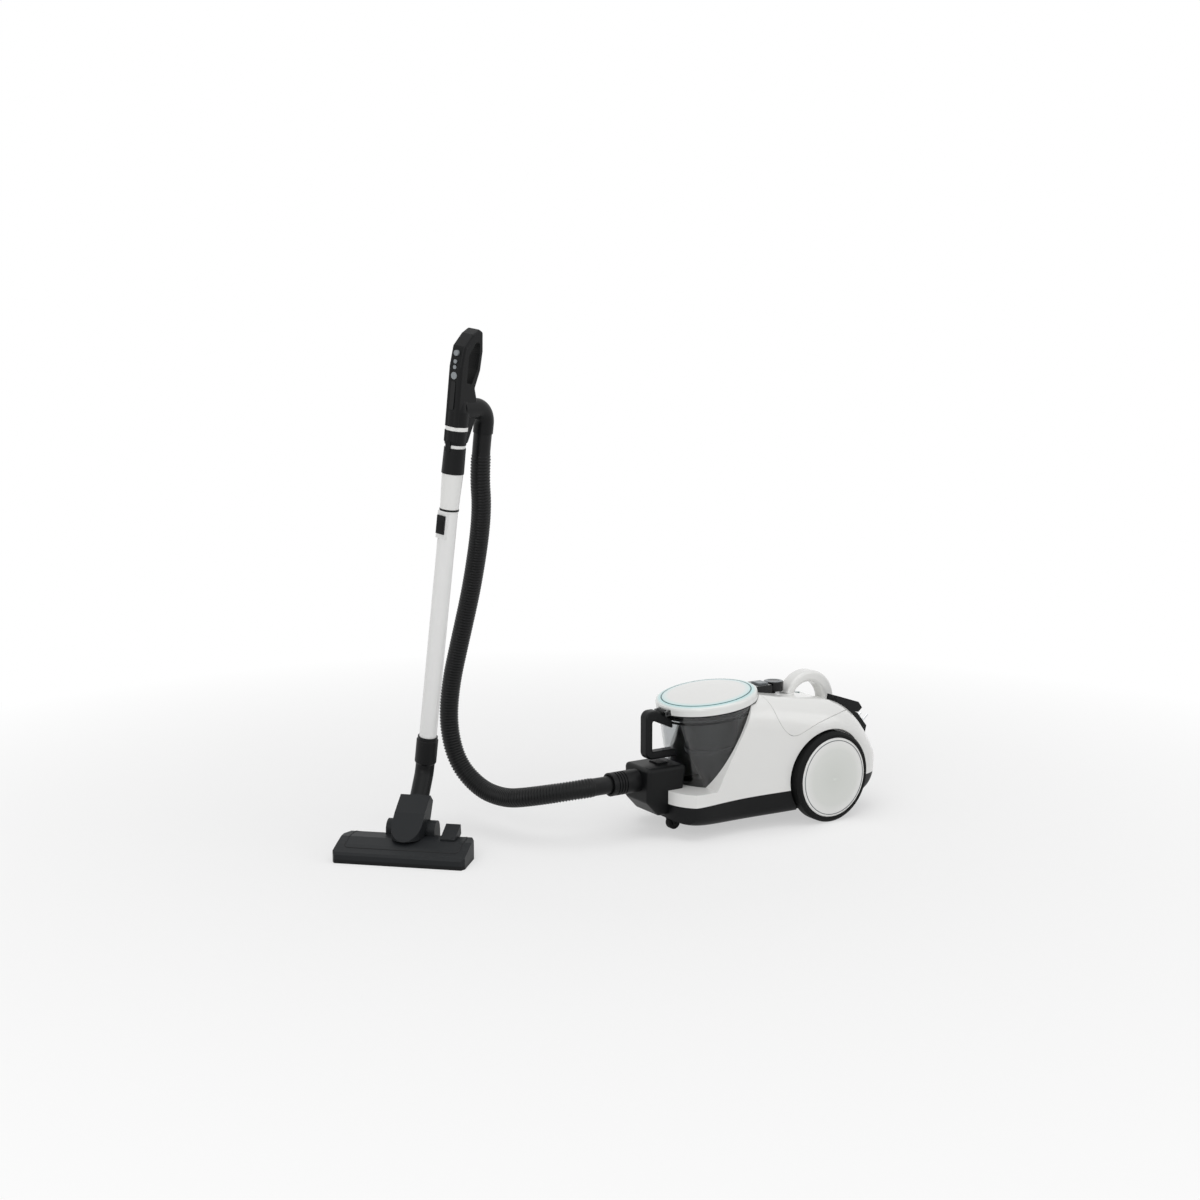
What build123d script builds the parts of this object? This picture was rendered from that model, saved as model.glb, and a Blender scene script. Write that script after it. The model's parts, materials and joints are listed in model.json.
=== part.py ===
from build123d import *
import math
import os

# Canister vacuum cleaner with a telescopic wand, in millimetres, +Z up.
# The canister is drawn about the floor point under its rear axle: -X is its front, -Y its left side.
# Every piece is then shifted by ORIGIN, which puts the origin under the middle of the whole cleaner.
ORIGIN = (388, -46.2, 0)

# Canister shells
WALL = 3.2
BODY_FRONT = -335
BODY_REAR = 155
BODY_HALF_WIDTH = 125
BODY_TOP = 262
BODY_BOTTOM = 31
SHOULDER_R = 58
NOSE_R = 88
TAIL_R = 45
KEEL_R = 18
SPLIT_FRONT = 66
SPLIT_MIDDLE = 74
SPLIT_REAR = 74
CRADLE_TOP = 92
SEAM_TOP = (-150, 290)
SEAM_FOOT = (-262, 92)
SEAM_GAP = 0.8
FIT = 0.3
RUN = 0.05

# Carry handle and deck
HANDLE_HALF_WIDTH = 17
HANDLE_FRONT_X = -23
HANDLE_REAR_X = 98
HANDLE_PEAK = (24, 281)
HANDLE_GRIP = 22
PANEL_FRONT = -116
PANEL_HALF_WIDTH = 25
PANEL_THICK = 1.6
CONSOLE_REAR = -69
CONSOLE_TOP = 267
CONSOLE_CHAMFER = 3
KNOB_X = -46
KNOB_R = 20
KNOB_HEIGHT = 19
KNOB_STEM_R = 4
KNOB_STEM = 14
RELEASE_X = -82
RELEASE_SIZE = (22, 26)
REWIND_X = 14
REWIND_SIZE = 15
BUTTON_PROUD = 3
BUTTON_DEPTH = 12
RELEASE_DEPTH = 27
BUTTON_FLANGE = 2

# Wheels
WHEEL_R = 91
WHEEL_DISC_R = 80
WHEEL_FACE_Y = 140
WHEEL_WIDTH = 34
ARCH_GAP = 5
AXLE_R = 6
AXLE_HEAD_R = 11
CASTER_X = -302
CASTER_R = 13
CASTER_WIDTH = 16
CASTER_TRAIL = 8
CASTER_ROOM_R = 24
CASTER_POST_R = 6
CASTER_AXLE_R = 2.5
CHEEK = 3

# Dust bin, along its own tilted axis
BIN_TILT = 8.16
LID_CENTRE = (-216.2, 0, 263)
LID_R = 101
LID_RIM = 17
LID_CROWN = 5
RING_R = 88.6
RING_WIDTH = 2.6
RING_DEPTH = 1.5
RING_TOP = 0.6
SEAL_THICK = 4
SEAL_WIDTH = 6
BIN_TOP_R = 97
BIN_FOOT_R = 93
BIN_DEPTH = 203
BIN_WALL = 2.6
BIN_FOOT_FILLET = 14
CRADLE_GAP = 0.6
CYCLONE_TOP_R = 62
CYCLONE_MID_R = 50
CYCLONE_FOOT_R = 20
CYCLONE_SHROUD_DEPTH = 74
CYCLONE_DEPTH = 168
CYCLONE_WALL = 2.4
BIN_GRIP_X = -357.5
BIN_GRIP_THICK = 15
BIN_GRIP_WIDTH = 24
BIN_GRIP_CORNER = 15
BIN_GRIP_EDGE = 4
BIN_GRIP_TOP = 243
BIN_GRIP_FOOT = 148
BIN_GRIP_ARM = 15
LID_PIN_R = 2.5

# Suction inlet on the nose
INLET_FRONT = -381
INLET_HALF_WIDTH = 42
INLET_TOP = 138
INLET_FOOT = 44
INLET_AXIS_Z = 110
INLET_BORE_R = 17
INLET_FINS = 5
INLET_ROUND = 8
CUFF_R = 22.5
CUFF_LENGTH = 84
CUFF_SPIGOT = 22
CUFF_RIBS = 4

# Motor, filters and cord reel inside the canister
MOTOR_X = -36
MOTOR_Z = 112
MOTOR_R = 58
MOTOR_LENGTH = 104
MOTOR_WALL = 2.5
SHAFT_R = 4
STATOR_R = 40
STATOR_LENGTH = 46
ROTOR_R = 24
IMPELLER_R = 49
IMPELLER_THICK = 16
FAN_EYE_R = 20
FAN_VANES = 9
FILTER_THICK = 12
REEL_X = 92
REEL_Z = 118
REEL_R = 46
REEL_CORE_R = 24
REEL_WIDTH = 46
REEL_FLANGE = 2.5
SPINDLE_R = 5
GRILLE_HALF_WIDTH = 52
GRILLE_Z = 101
GRILLE_HEIGHT = 42
GRILLE_SLATS = 5

# Mains plug parked at the rear
PLUG_Y = -52
PIN_R = 2.4
PIN_LENGTH = 19
PIN_SPACING = 19
PIN_ROOT = 4

# Wand, measured along its axis from the elbow
WAND_LEAN = 9.97
WAND_LEAN_TOWARDS = -79.4
WAND_TURN = 22
ELBOW_POINT = (-731, 203.6, 130.6)
TUBE_R = 16.5
TUBE_WALL = 1.4
INNER_TUBE_R = 14.9
COLLAR_R = 20.6
SLEEVE_FOOT_R = 17
SLEEVE_TOP_R = 19.5
NECK_COLLAR_LOW = 20
NECK_COLLAR_TOP = 74
TUBE_SEAT = 46
TUBE_TOP = 514
BUSH_TOP = 518
SLEEVE_TOP = 583
COLLAR_TOP = 630
HANDLE_LOW = 636
OUTLET_S = 699
OUTLET_END = 38
ELBOW_BEND_R = 30
INNER_TUBE_FOOT = 196
TELESCOPE_TRAVEL = 300
GRIP_HALF_WIDTH = 15

# Floor nozzle, drawn with x along its mouth, y to its rear
NOZZLE_YAW = -43.17
NOZZLE_FRONT_MIDDLE = (-851, 75.5, 0)
NOZZLE_LENGTH = 250
NOZZLE_DEPTH = 118
NOZZLE_LIP = 16
NOZZLE_FRONT_HEIGHT = 28
NOZZLE_TOP = 35
SOLE_THICK = 7
HOOD_WALL = 2.5
PIVOT_Y = 98
PIVOT_Z = 42
PIVOT_R = 19
PIVOT_HALF = 31
TOWER_WIDTH = 16
PIVOT_PIN_R = 6
NECK_R = 18
NECK_BORE_R = 15
NECK_BEND_R = 30
ROLLER_R = 8
ROLLER_WIDTH = 14
PEDAL_X = 78

# Suction hose
HOSE_R = 18.5
HOSE_BORE_R = 15.5
RIB_COUNT = 180
RIB_DEPTH = 1.4

os.makedirs("parts", exist_ok=True)
SHIFT = Pos(*ORIGIN)
LEFT = -1
RIGHT = 1
HUGE = 900
DOWNWARD = (Align.CENTER, Align.CENTER, Align.MAX)
AXLE_Z = WHEEL_R
nodes = {}


def put(name, shape):
    """Store one node, shifted to the cleaner's own frame."""
    nodes[name] = SHIFT * shape
    export_step(nodes[name], f"parts/{name}.step")


def extrude_xz(points, y_low, y_high):
    """Prism of an outline drawn in x and z, running along y."""
    face = make_face(Polyline(*points, close=True))
    return extrude(Plane.XZ.offset(-y_high) * face, amount=y_high - y_low)


def rounded_outline(points, radius):
    """Face of an outline with its corners rounded."""
    face = make_face(Polyline(*points, close=True))
    return fillet(face.vertices(), radius)


def rounded_bar(face, half_width, edge):
    """Bar along y with a side face drawn in x and z, its two rims rounded."""
    bar = extrude(Plane.XZ.offset(-half_width) * face, amount=2 * half_width)
    rims = bar.faces().sort_by(Axis.Y)
    return fillet(rims[0].edges() + rims[-1].edges(), edge)


def cylinder_y(x, z, radius, y_low, y_high):
    """Round bar along y."""
    turned = Rot(90, 0, 0) * Cylinder(radius, y_high - y_low)
    return Pos(x, (y_low + y_high) / 2, z) * turned


def cylinder_x(y, z, radius, x_low, x_high):
    """Round bar along x."""
    turned = Rot(0, 90, 0) * Cylinder(radius, x_high - x_low)
    return Pos((x_low + x_high) / 2, y, z) * turned


def block(x_low, x_high, y_low, y_high, z_low, z_high):
    """Plain box between two corners."""
    size = (x_high - x_low, y_high - y_low, z_high - z_low)
    middle = ((x_low + x_high) / 2, (y_low + y_high) / 2, (z_low + z_high) / 2)
    return Pos(*middle) * Box(*size)


def turned(points):
    """Solid of revolution about z from an outline of radius and height."""
    face = make_face(Polyline(*points, close=True))
    return revolve(Plane.XZ * face, Axis.Z)


def both_sides(shape):
    """A shape and its mirror image across the canister's middle plane."""
    return shape + mirror(shape, Plane.XZ)


# Body: a loft through upright rounded sections, hollowed by the same loft one wall smaller.
BODY_STATIONS = [
    (BODY_FRONT, BODY_HALF_WIDTH - 43, BODY_BOTTOM + 6, BODY_TOP - 110),
    (BODY_FRONT + 95, BODY_HALF_WIDTH - 23, BODY_BOTTOM - 6, BODY_TOP - 14),
    (-150, BODY_HALF_WIDTH - 16, BODY_BOTTOM - 5, BODY_TOP),
    (-30, BODY_HALF_WIDTH, BODY_BOTTOM - 1, BODY_TOP - 18),
    (60, BODY_HALF_WIDTH - 5, BODY_BOTTOM + 2, BODY_TOP - 37),
    (BODY_REAR - 33, BODY_HALF_WIDTH - 20, BODY_BOTTOM + 14, BODY_TOP - 84),
    (BODY_REAR, BODY_HALF_WIDTH - 42, BODY_BOTTOM + 42, BODY_TOP - 134),
]


def body_section(x, half_width, low, high, inset):
    """One upright section of the body, drawn in by inset."""
    side = half_width - inset
    foot = low + inset
    crest = high - inset
    face = make_face(Polyline((-side, foot), (side, foot), (side, crest), (-side, crest), close=True))
    limit = 0.45 * min(2 * side, crest - foot)
    shoulder = min(SHOULDER_R - inset, limit)
    keel = min(KEEL_R - inset, limit)
    face = fillet(face.vertices().group_by(Axis.Y)[-1], shoulder)
    face = fillet(face.vertices().group_by(Axis.Y)[0], keel)
    return Plane.YZ.offset(x) * face


def body_loft(inset):
    """The whole body's outer form, or its inside when inset by a wall."""
    last = len(BODY_STATIONS) - 1
    sections = []
    for index, (x, half_width, low, high) in enumerate(BODY_STATIONS):
        pulled = inset if index == 0 else -inset if index == last else 0
        sections.append(body_section(x + pulled, half_width, low, high, inset))
    return loft(sections)


def body_plan(inset):
    """Upright prism of the body's outline from above, with a round nose."""
    low = BODY_FRONT + inset
    high = BODY_REAR - inset
    side = BODY_HALF_WIDTH + 2 - inset
    outline = make_face(Polyline((low, -side), (high, -side), (high, side), (low, side), close=True))
    outline = fillet(outline.vertices().group_by(Axis.X)[0], NOSE_R - inset)
    outline = fillet(outline.vertices().group_by(Axis.X)[-1], TAIL_R - inset)
    return extrude(outline, amount=HUGE)


body_outer = body_loft(0) & body_plan(0)
body_inner = body_loft(WALL) & body_plan(WALL)

# The bin's own frame: z along its tilted axis, zero at the top of the lid's rim.
BIN_FRAME = Location((LID_CENTRE[0], LID_CENTRE[1], LID_CENTRE[2]), (0, -BIN_TILT, 0))
bin_flare = (BIN_TOP_R - BIN_FOOT_R) / BIN_DEPTH


def bin_radius(depth):
    """Outside radius of the bin at a depth below the lid's rim."""
    return BIN_TOP_R - bin_flare * depth


def bin_space(gap, top):
    """Room that the bin needs to slide out, with a gap all round."""
    points = [
        (0, -BIN_DEPTH - gap),
        (BIN_FOOT_R + gap, -BIN_DEPTH - gap),
        (BIN_TOP_R + gap, 0),
        (BIN_TOP_R + gap + bin_flare * top, top),
        (0, top),
    ]
    return BIN_FRAME * turned(points)


lid_space = BIN_FRAME * (Pos(0, 0, 50 - LID_RIM - SEAL_THICK) * Cylinder(LID_R + CRADLE_GAP, 100))
bin_room = bin_space(CRADLE_GAP, 120) + lid_space
bin_shield = bin_space(CRADLE_GAP + WALL, 120)


def arch(radius, inner_y):
    """Room for one rear wheel, mirrored to both sides."""
    return both_sides(cylinder_y(0, AXLE_Z, radius, inner_y, HUGE / 4))


ARCH_INNER_Y = WHEEL_FACE_Y - WHEEL_WIDTH - ARCH_GAP
wheel_arch = arch(WHEEL_R + ARCH_GAP, ARCH_INNER_Y)
arch_shield = arch(WHEEL_R + ARCH_GAP + WALL, ARCH_INNER_Y - WALL)

# What lies ahead of the slanted seam and above the cradle is open for the bin.
nose_cut = extrude_xz(
    [(-HUGE, CRADLE_TOP), SEAM_FOOT, SEAM_TOP, (SEAM_TOP[0], HUGE), (-HUGE, HUGE)],
    -HUGE / 2,
    HUGE / 2,
)
seam_wall = extrude_xz(
    [SEAM_FOOT, (SEAM_FOOT[0] + WALL, SEAM_FOOT[1]), (SEAM_TOP[0] + WALL, SEAM_TOP[1]), SEAM_TOP],
    -HUGE / 2,
    HUGE / 2,
)
hollow = body_inner - bin_shield - arch_shield - nose_cut - seam_wall
cradle_lid = block(BODY_FRONT - 5, SEAM_FOOT[0] + 60, -HUGE / 2, HUGE / 2, CRADLE_TOP - WALL, CRADLE_TOP)
hollow = hollow - cradle_lid
body_skin = body_outer - nose_cut - bin_room - wheel_arch - hollow

# Black base below the white shell, parted along a line that rises towards the rear.
below_split = extrude_xz(
    [
        (-HUGE, -HUGE),
        (-HUGE, SPLIT_FRONT),
        (BODY_FRONT, SPLIT_FRONT),
        (-90, SPLIT_MIDDLE),
        (AXLE_R * 6, SPLIT_MIDDLE + 5),
        (BODY_REAR, SPLIT_REAR),
        (HUGE, SPLIT_REAR),
        (HUGE, -HUGE),
    ],
    -HUGE / 2,
    HUGE / 2,
)

# Caster under the nose: a post in a boss of the base, two cheeks and a wheel on its own stub axle.
CASTER_BOSS_LOW = 37.5
CASTER_BOSS_HIGH = CASTER_BOSS_LOW + 32
CASTER_CROWN = 4
caster_boss = Pos(CASTER_X, 0, (CASTER_BOSS_LOW + CASTER_BOSS_HIGH) / 2) * Cylinder(
    CASTER_POST_R + 5, CASTER_BOSS_HIGH - CASTER_BOSS_LOW
)
post_top = CASTER_BOSS_HIGH - 4
caster_bore = Pos(CASTER_X, 0, (CASTER_BOSS_LOW + post_top) / 2) * Cylinder(
    CASTER_POST_R + RUN, post_top - CASTER_BOSS_LOW
)
crown_top = CASTER_BOSS_LOW - FIT
post_end = post_top - 1
caster_post = Pos(CASTER_X, 0, (crown_top + post_end) / 2) * Cylinder(CASTER_POST_R, post_end - crown_top)
crown_r = CASTER_TRAIL + CASTER_AXLE_R + 3
caster_crown = Pos(CASTER_X, 0, crown_top - CASTER_CROWN / 2) * Cylinder(crown_r, CASTER_CROWN)
cheek_y = CASTER_WIDTH / 2 + FIT
wheel_x = CASTER_X + CASTER_TRAIL
cheek = extrude_xz(
    [
        (CASTER_X - CASTER_POST_R, crown_top - CASTER_CROWN),
        (wheel_x - 5, CASTER_R - 4),
        (wheel_x + 3, CASTER_R - 4),
        (wheel_x + 4, CASTER_R + 4),
        (wheel_x, crown_top - CASTER_CROWN),
    ],
    cheek_y,
    cheek_y + CHEEK,
)
caster_hole = cylinder_y(wheel_x, CASTER_R, CASTER_AXLE_R + RUN, -HUGE / 9, HUGE / 9)
put("caster_fork", caster_post + caster_crown + both_sides(cheek) - caster_hole)
caster_tread = cylinder_y(wheel_x, CASTER_R, CASTER_R, -CASTER_WIDTH / 2, CASTER_WIDTH / 2)
caster_tread = fillet(caster_tread.edges().filter_by(GeomType.CIRCLE), 3)
stub_y = cheek_y + CHEEK + 1
put("caster_wheel", caster_tread + cylinder_y(wheel_x, CASTER_R, CASTER_AXLE_R, -stub_y, stub_y))

# Rear axle stubs, pressed into bosses inside the wheel arches.
BOSS_INNER_Y = 68
axle_boss = cylinder_y(0, AXLE_Z, AXLE_R + 5, BOSS_INNER_Y, ARCH_INNER_Y - WALL / 2)
axle_hole = cylinder_y(0, AXLE_Z, AXLE_R + RUN, BOSS_INNER_Y - 1, HUGE / 4)
axle_tip_y = WHEEL_FACE_Y - 12
put("axle_pins", both_sides(cylinder_y(0, AXLE_Z, AXLE_R, BOSS_INNER_Y, axle_tip_y)))


def wheel_profile(side):
    """White disc with its hub, and the black tyre round it."""
    inner_y = WHEEL_FACE_Y - WHEEL_WIDTH
    rim_wall = 6
    disc_face = WHEEL_FACE_Y - 3
    points = [
        (0, WHEEL_FACE_Y),
        (WHEEL_DISC_R * 0.6, WHEEL_FACE_Y - 1),
        (WHEEL_DISC_R - 2, disc_face),
        (WHEEL_DISC_R, disc_face - 2),
        (WHEEL_DISC_R, inner_y + 2),
        (WHEEL_DISC_R - rim_wall, inner_y + 2),
        (WHEEL_DISC_R - rim_wall, disc_face - 6),
        (AXLE_R + 8, disc_face - 6),
        (AXLE_R + 8, inner_y),
        (AXLE_R + RUN, inner_y),
        (AXLE_R + RUN, axle_tip_y + 1),
        (0, axle_tip_y + 1),
    ]
    tread_in = WHEEL_DISC_R + RUN
    shoulder = 5
    tyre_face = WHEEL_FACE_Y - 4
    tyre_points = [
        (tread_in, inner_y),
        (WHEEL_R - shoulder, inner_y),
        (WHEEL_R, inner_y + shoulder),
        (WHEEL_R, tyre_face - shoulder),
        (WHEEL_R - shoulder, tyre_face),
        (tread_in, tyre_face),
    ]
    placed = Pos(0, 0, AXLE_Z) * Rot(-90 * side, 0, 0)
    return placed * turned(points), placed * turned(tyre_points)


for side, word in ((LEFT, "left"), (RIGHT, "right")):
    disc, tyre = wheel_profile(side)
    put(f"wheel_{word}", disc)
    put(f"tyre_{word}", tyre)

# Top cover with its S-shaped parting line, and the carry handle that is moulded with it.
COVER_LINE = [
    (-131, BODY_TOP + 30),
    (-128, 246),
    (-114, 202),
    (-92, 184),
    (-55, 194),
    (0, 209),
    (60, 213),
    (HANDLE_REAR_X + 8, 202),
]


cover_curve = Spline(*COVER_LINE)
cover_back = (COVER_LINE[-1][0], COVER_LINE[0][1])
cover_face = make_face([cover_curve, Line(cover_curve @ 1, cover_back), Line(cover_back, cover_curve @ 0)])
cover_zone = extrude(Plane.XZ.offset(-HUGE / 2) * cover_face, amount=HUGE)
deck_front = BODY_TOP - 24
deck_rear = BODY_TOP - 64
outer_arc = ThreePointArc((HANDLE_FRONT_X, deck_front), HANDLE_PEAK, (HANDLE_REAR_X, deck_rear))
inner_arc = ThreePointArc(
    (HANDLE_REAR_X - HANDLE_GRIP - 4, deck_rear),
    (HANDLE_PEAK[0], HANDLE_PEAK[1] - HANDLE_GRIP),
    (HANDLE_FRONT_X + HANDLE_GRIP - 4, deck_front),
)
rear_foot = Line(outer_arc @ 1, inner_arc @ 0)
front_foot = Line(inner_arc @ 1, outer_arc @ 0)
bow = make_face([outer_arc, rear_foot, inner_arc, front_foot])
carry_bow = extrude(Plane.XZ.offset(-HANDLE_HALF_WIDTH) * bow, amount=2 * HANDLE_HALF_WIDTH)
carry_bow = fillet(carry_bow.edges().filter_by(GeomType.CIRCLE), 7)

# Control panel: a plate let into the deck under the knob, with a raised console between knob and lid.
panel_low = BODY_TOP - 90
panel_rear = HANDLE_FRONT_X - 2
panel_zone = block(PANEL_FRONT, panel_rear, -PANEL_HALF_WIDTH, PANEL_HALF_WIDTH, panel_low, HUGE)
console = extrude_xz(
    [
        (PANEL_FRONT, panel_low),
        (PANEL_FRONT, CONSOLE_TOP),
        (CONSOLE_REAR - CONSOLE_CHAMFER, CONSOLE_TOP),
        (CONSOLE_REAR, CONSOLE_TOP - CONSOLE_CHAMFER),
        (CONSOLE_REAR, panel_low),
    ],
    -PANEL_HALF_WIDTH,
    PANEL_HALF_WIDTH,
)
control_panel = (body_outer & panel_zone) + console - Pos(0, 0, -PANEL_THICK) * body_outer - bin_room

KNOB_DECK_Z = BODY_TOP - 15
knob_hole = Pos(KNOB_X, 0, KNOB_DECK_Z) * Cylinder(KNOB_STEM_R + RUN, 4 * KNOB_STEM)


def button_shape(x, outline, top, depth):
    """Push button: a key through the deck and a flange that holds it below."""
    key = extrude(Pos(x, 0, top - depth) * outline, amount=depth)
    brim = offset(outline, BUTTON_FLANGE, kind=Kind.INTERSECTION)
    flange = extrude(Pos(x, 0, top - depth - BUTTON_FLANGE) * brim, amount=BUTTON_FLANGE)
    return key + flange


def button_hole(x, outline):
    """Hole through the deck for a push button."""
    wider = offset(outline, FIT, kind=Kind.INTERSECTION)
    return extrude(Pos(x, 0, BODY_TOP - 60) * wider, amount=HUGE)


release_outline = make_face(Rectangle(*RELEASE_SIZE).wire())
release_top = CONSOLE_TOP + BUTTON_PROUD
release_hole = button_hole(RELEASE_X, release_outline)
put("bin_release_button", button_shape(RELEASE_X, release_outline, release_top, RELEASE_DEPTH))

rewind_tip = REWIND_SIZE * 0.6
rewind_back = -REWIND_SIZE * 0.4
rewind_half = REWIND_SIZE / 2
rewind_outline = make_face(
    Polyline((rewind_tip, 0), (rewind_back, rewind_half), (rewind_back, -rewind_half), close=True)
)
rewind_top = BODY_TOP - 27 + BUTTON_PROUD
above_deck = block(-HUGE, HUGE, -HUGE, HUGE, HANDLE_PEAK[1] - HANDLE_GRIP - 4, 2 * HUGE)
rewind_hole = button_hole(REWIND_X, rewind_outline) - above_deck
put("rewind_button", button_shape(REWIND_X, rewind_outline, rewind_top, BUTTON_DEPTH))

deck_holes = knob_hole + release_hole + rewind_hole
put("control_panel", control_panel - deck_holes)
top_cover = (body_skin & cover_zone) + ((carry_bow & cover_zone) - body_inner)

# Selector knob: a fluted drum on a stem.
knob_bottom = KNOB_DECK_Z + 2.5
knob = Pos(KNOB_X, 0, knob_bottom + KNOB_HEIGHT / 2) * Cylinder(KNOB_R, KNOB_HEIGHT)
knob = chamfer(knob.edges().group_by(Axis.Z)[-1], 1.2)
stem_low = knob_bottom - KNOB_STEM
put("power_knob", knob + Pos(KNOB_X, 0, (stem_low + knob_bottom) / 2) * Cylinder(KNOB_STEM_R, KNOB_STEM))

# Rear grille door over the exhaust filter, hung on two pins along its foot.
GRILLE_PIN_R = 1.6
GRILLE_BARREL_R = 3
GRILLE_EAR_Y = 26
grille_low = GRILLE_Z - GRILLE_HEIGHT / 2
grille_high = GRILLE_Z + GRILLE_HEIGHT / 2
grille_y = GRILLE_HALF_WIDTH + FIT
grille_hole = block(
    BODY_REAR - 3 * WALL, BODY_REAR + 1, -grille_y, grille_y, grille_low - FIT, grille_high + FIT
)
GRILLE_HINGE = (BODY_REAR + GRILLE_BARREL_R + 0.2, grille_low + GRILLE_BARREL_R)
door = block(BODY_REAR - WALL, BODY_REAR, -GRILLE_HALF_WIDTH, GRILLE_HALF_WIDTH, grille_low, grille_high)
slat_pitch = (GRILLE_HEIGHT - 10) / GRILLE_SLATS
slot_y = GRILLE_HALF_WIDTH - 8
for index in range(GRILLE_SLATS):
    slot_z = grille_low + 8 + index * slat_pitch
    slot_end = slot_z + slat_pitch / 2
    door -= block(BODY_REAR - 9, BODY_REAR + 1, -slot_y, slot_y, slot_z, slot_end)
barrel_y = GRILLE_EAR_Y - 1
barrel = cylinder_y(*GRILLE_HINGE, GRILLE_BARREL_R, -barrel_y, barrel_y)
barrel += block(BODY_REAR - 1, GRILLE_HINGE[0], -barrel_y, barrel_y, grille_low + 1, GRILLE_HINGE[1] + 1)
ear_end = GRILLE_EAR_Y + 5
put("exhaust_grille", door + barrel + cylinder_y(*GRILLE_HINGE, GRILLE_PIN_R, -ear_end, ear_end))
ear = cylinder_y(*GRILLE_HINGE, GRILLE_BARREL_R, GRILLE_EAR_Y, ear_end - 1)
ear_foot_z = grille_low - 5
ear += block(BODY_REAR - WALL, GRILLE_HINGE[0] + 2, GRILLE_EAR_Y, ear_end - 1, ear_foot_z, GRILLE_HINGE[1])
ear -= block(BODY_REAR - 9, BODY_REAR + 0.2, 0, HUGE, grille_low - 0.5, HUGE)
grille_ears = both_sides(ear) - cylinder_y(*GRILLE_HINGE, GRILLE_PIN_R + RUN, -ear_end - 1, ear_end + 1)

# Exhaust filter cassette behind the grille.
filter_front = BODY_REAR - WALL - FILTER_THICK
filter_y = GRILLE_HALF_WIDTH - 6
filter_rear = BODY_REAR - WALL - 3 * FIT
filter_block = block(filter_front, filter_rear, -filter_y, filter_y, grille_low + 2, grille_high - 2)
put("exhaust_filter", filter_block)

# Motor: a drum with a filter at its mouth, fan, bearing plate, stator, rotor and end cap, all along x.
motor_front = MOTOR_X - MOTOR_LENGTH / 2
motor_rear = MOTOR_X + MOTOR_LENGTH / 2
drum_inner = MOTOR_R - MOTOR_WALL


def disc_x(radius, x_low, x_high):
    """Disc about the motor's axis."""
    return cylinder_x(0, MOTOR_Z, radius, x_low, x_high)


def ring_holes(count, pitch_r, hole_r, x_low, x_high):
    """Round of holes about the motor's axis."""
    holes = []
    for index in range(count):
        turn = 2 * math.pi * index / count
        y = pitch_r * math.cos(turn)
        z = MOTOR_Z + pitch_r * math.sin(turn)
        holes.append(cylinder_x(y, z, hole_r, x_low, x_high))
    return holes


filter_x = motor_front + 2
fan_plate_x = filter_x + FILTER_THICK - 2
fan_x = fan_plate_x + 4
bearing_x = fan_x + IMPELLER_THICK + 3
stator_x = bearing_x + 9
cap_x = motor_rear - 4
plate_r = MOTOR_R - 1


def ring_x(outer, inner, x_low, x_high):
    """Flat ring about the motor's axis."""
    return disc_x(outer, x_low, x_high) - disc_x(inner, x_low - 1, x_high + 1)


motor_housing = ring_x(MOTOR_R, drum_inner, motor_front, motor_rear)
motor_housing += ring_x(plate_r, FAN_EYE_R, fan_plate_x, fan_plate_x + 2)
bearing_plate = ring_x(plate_r, SHAFT_R + RUN, bearing_x, bearing_x + 3)
for hole in ring_holes(8, 44, 6, bearing_x - 1, bearing_x + 4):
    bearing_plate -= hole
seat = ring_x(plate_r, STATOR_R + RUN, stator_x + 14, stator_x + 20)
for hole in ring_holes(8, 48, 5, stator_x + 13, stator_x + 21):
    seat -= hole
end_cap = ring_x(plate_r, SHAFT_R + RUN, cap_x, motor_rear)
for hole in ring_holes(8, 38, 8, cap_x - 1, motor_rear + 1):
    end_cap -= hole
put("motor_housing", motor_housing + bearing_plate + seat + end_cap)
put("motor_filter", disc_x(drum_inner - FIT, filter_x, fan_plate_x - FIT))
put("motor_stator", ring_x(STATOR_R, ROTOR_R + 1, stator_x, stator_x + STATOR_LENGTH))
rotor_core = disc_x(ROTOR_R, stator_x + 2, stator_x + STATOR_LENGTH - 2)
put("motor_rotor", rotor_core + disc_x(SHAFT_R, fan_x - 2, motor_rear - 1))
fan_rear = fan_x + IMPELLER_THICK
impeller = disc_x(IMPELLER_R, fan_rear - 2, fan_rear) + disc_x(SHAFT_R + 5, fan_x, fan_rear)
for index in range(FAN_VANES):
    vane = block(fan_x, fan_rear - 1, SHAFT_R + 3, IMPELLER_R - 1, -0.8, 0.8)
    impeller += Pos(0, 0, MOTOR_Z) * Rot(360 * index / FAN_VANES, 0, 0) * vane
put("fan_impeller", impeller - disc_x(SHAFT_R, fan_x - 1, fan_x + IMPELLER_THICK + 1))

# Cord reel on a spindle between two brackets, with its rewind spring and the wound cord.
reel_half = REEL_WIDTH / 2
bracket_y = reel_half + 4
bracket_foot = 46
spindle = cylinder_y(REEL_X, REEL_Z, SPINDLE_R, -bracket_y - 4, bracket_y + 4)
bracket_end = bracket_y + 4
bracket = block(REEL_X - 14, REEL_X + 14, bracket_y, bracket_end, bracket_foot, REEL_Z + 12)
bracket_base = block(REEL_X - 22, REEL_X + 22, -bracket_end, bracket_end, bracket_foot, bracket_foot + 4)
put("reel_bracket", both_sides(bracket) + bracket_base + spindle)
drum = cylinder_y(REEL_X, REEL_Z, REEL_CORE_R, -reel_half, reel_half)
for low in (-reel_half, reel_half - REEL_FLANGE):
    drum += cylinder_y(REEL_X, REEL_Z, REEL_R, low, low + REEL_FLANGE)
spring_room = cylinder_y(REEL_X, REEL_Z, REEL_CORE_R - 3, -reel_half - 1, reel_half - 14)
put("cord_reel", drum - spring_room - cylinder_y(REEL_X, REEL_Z, SPINDLE_R + RUN, -HUGE, HUGE))
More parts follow.
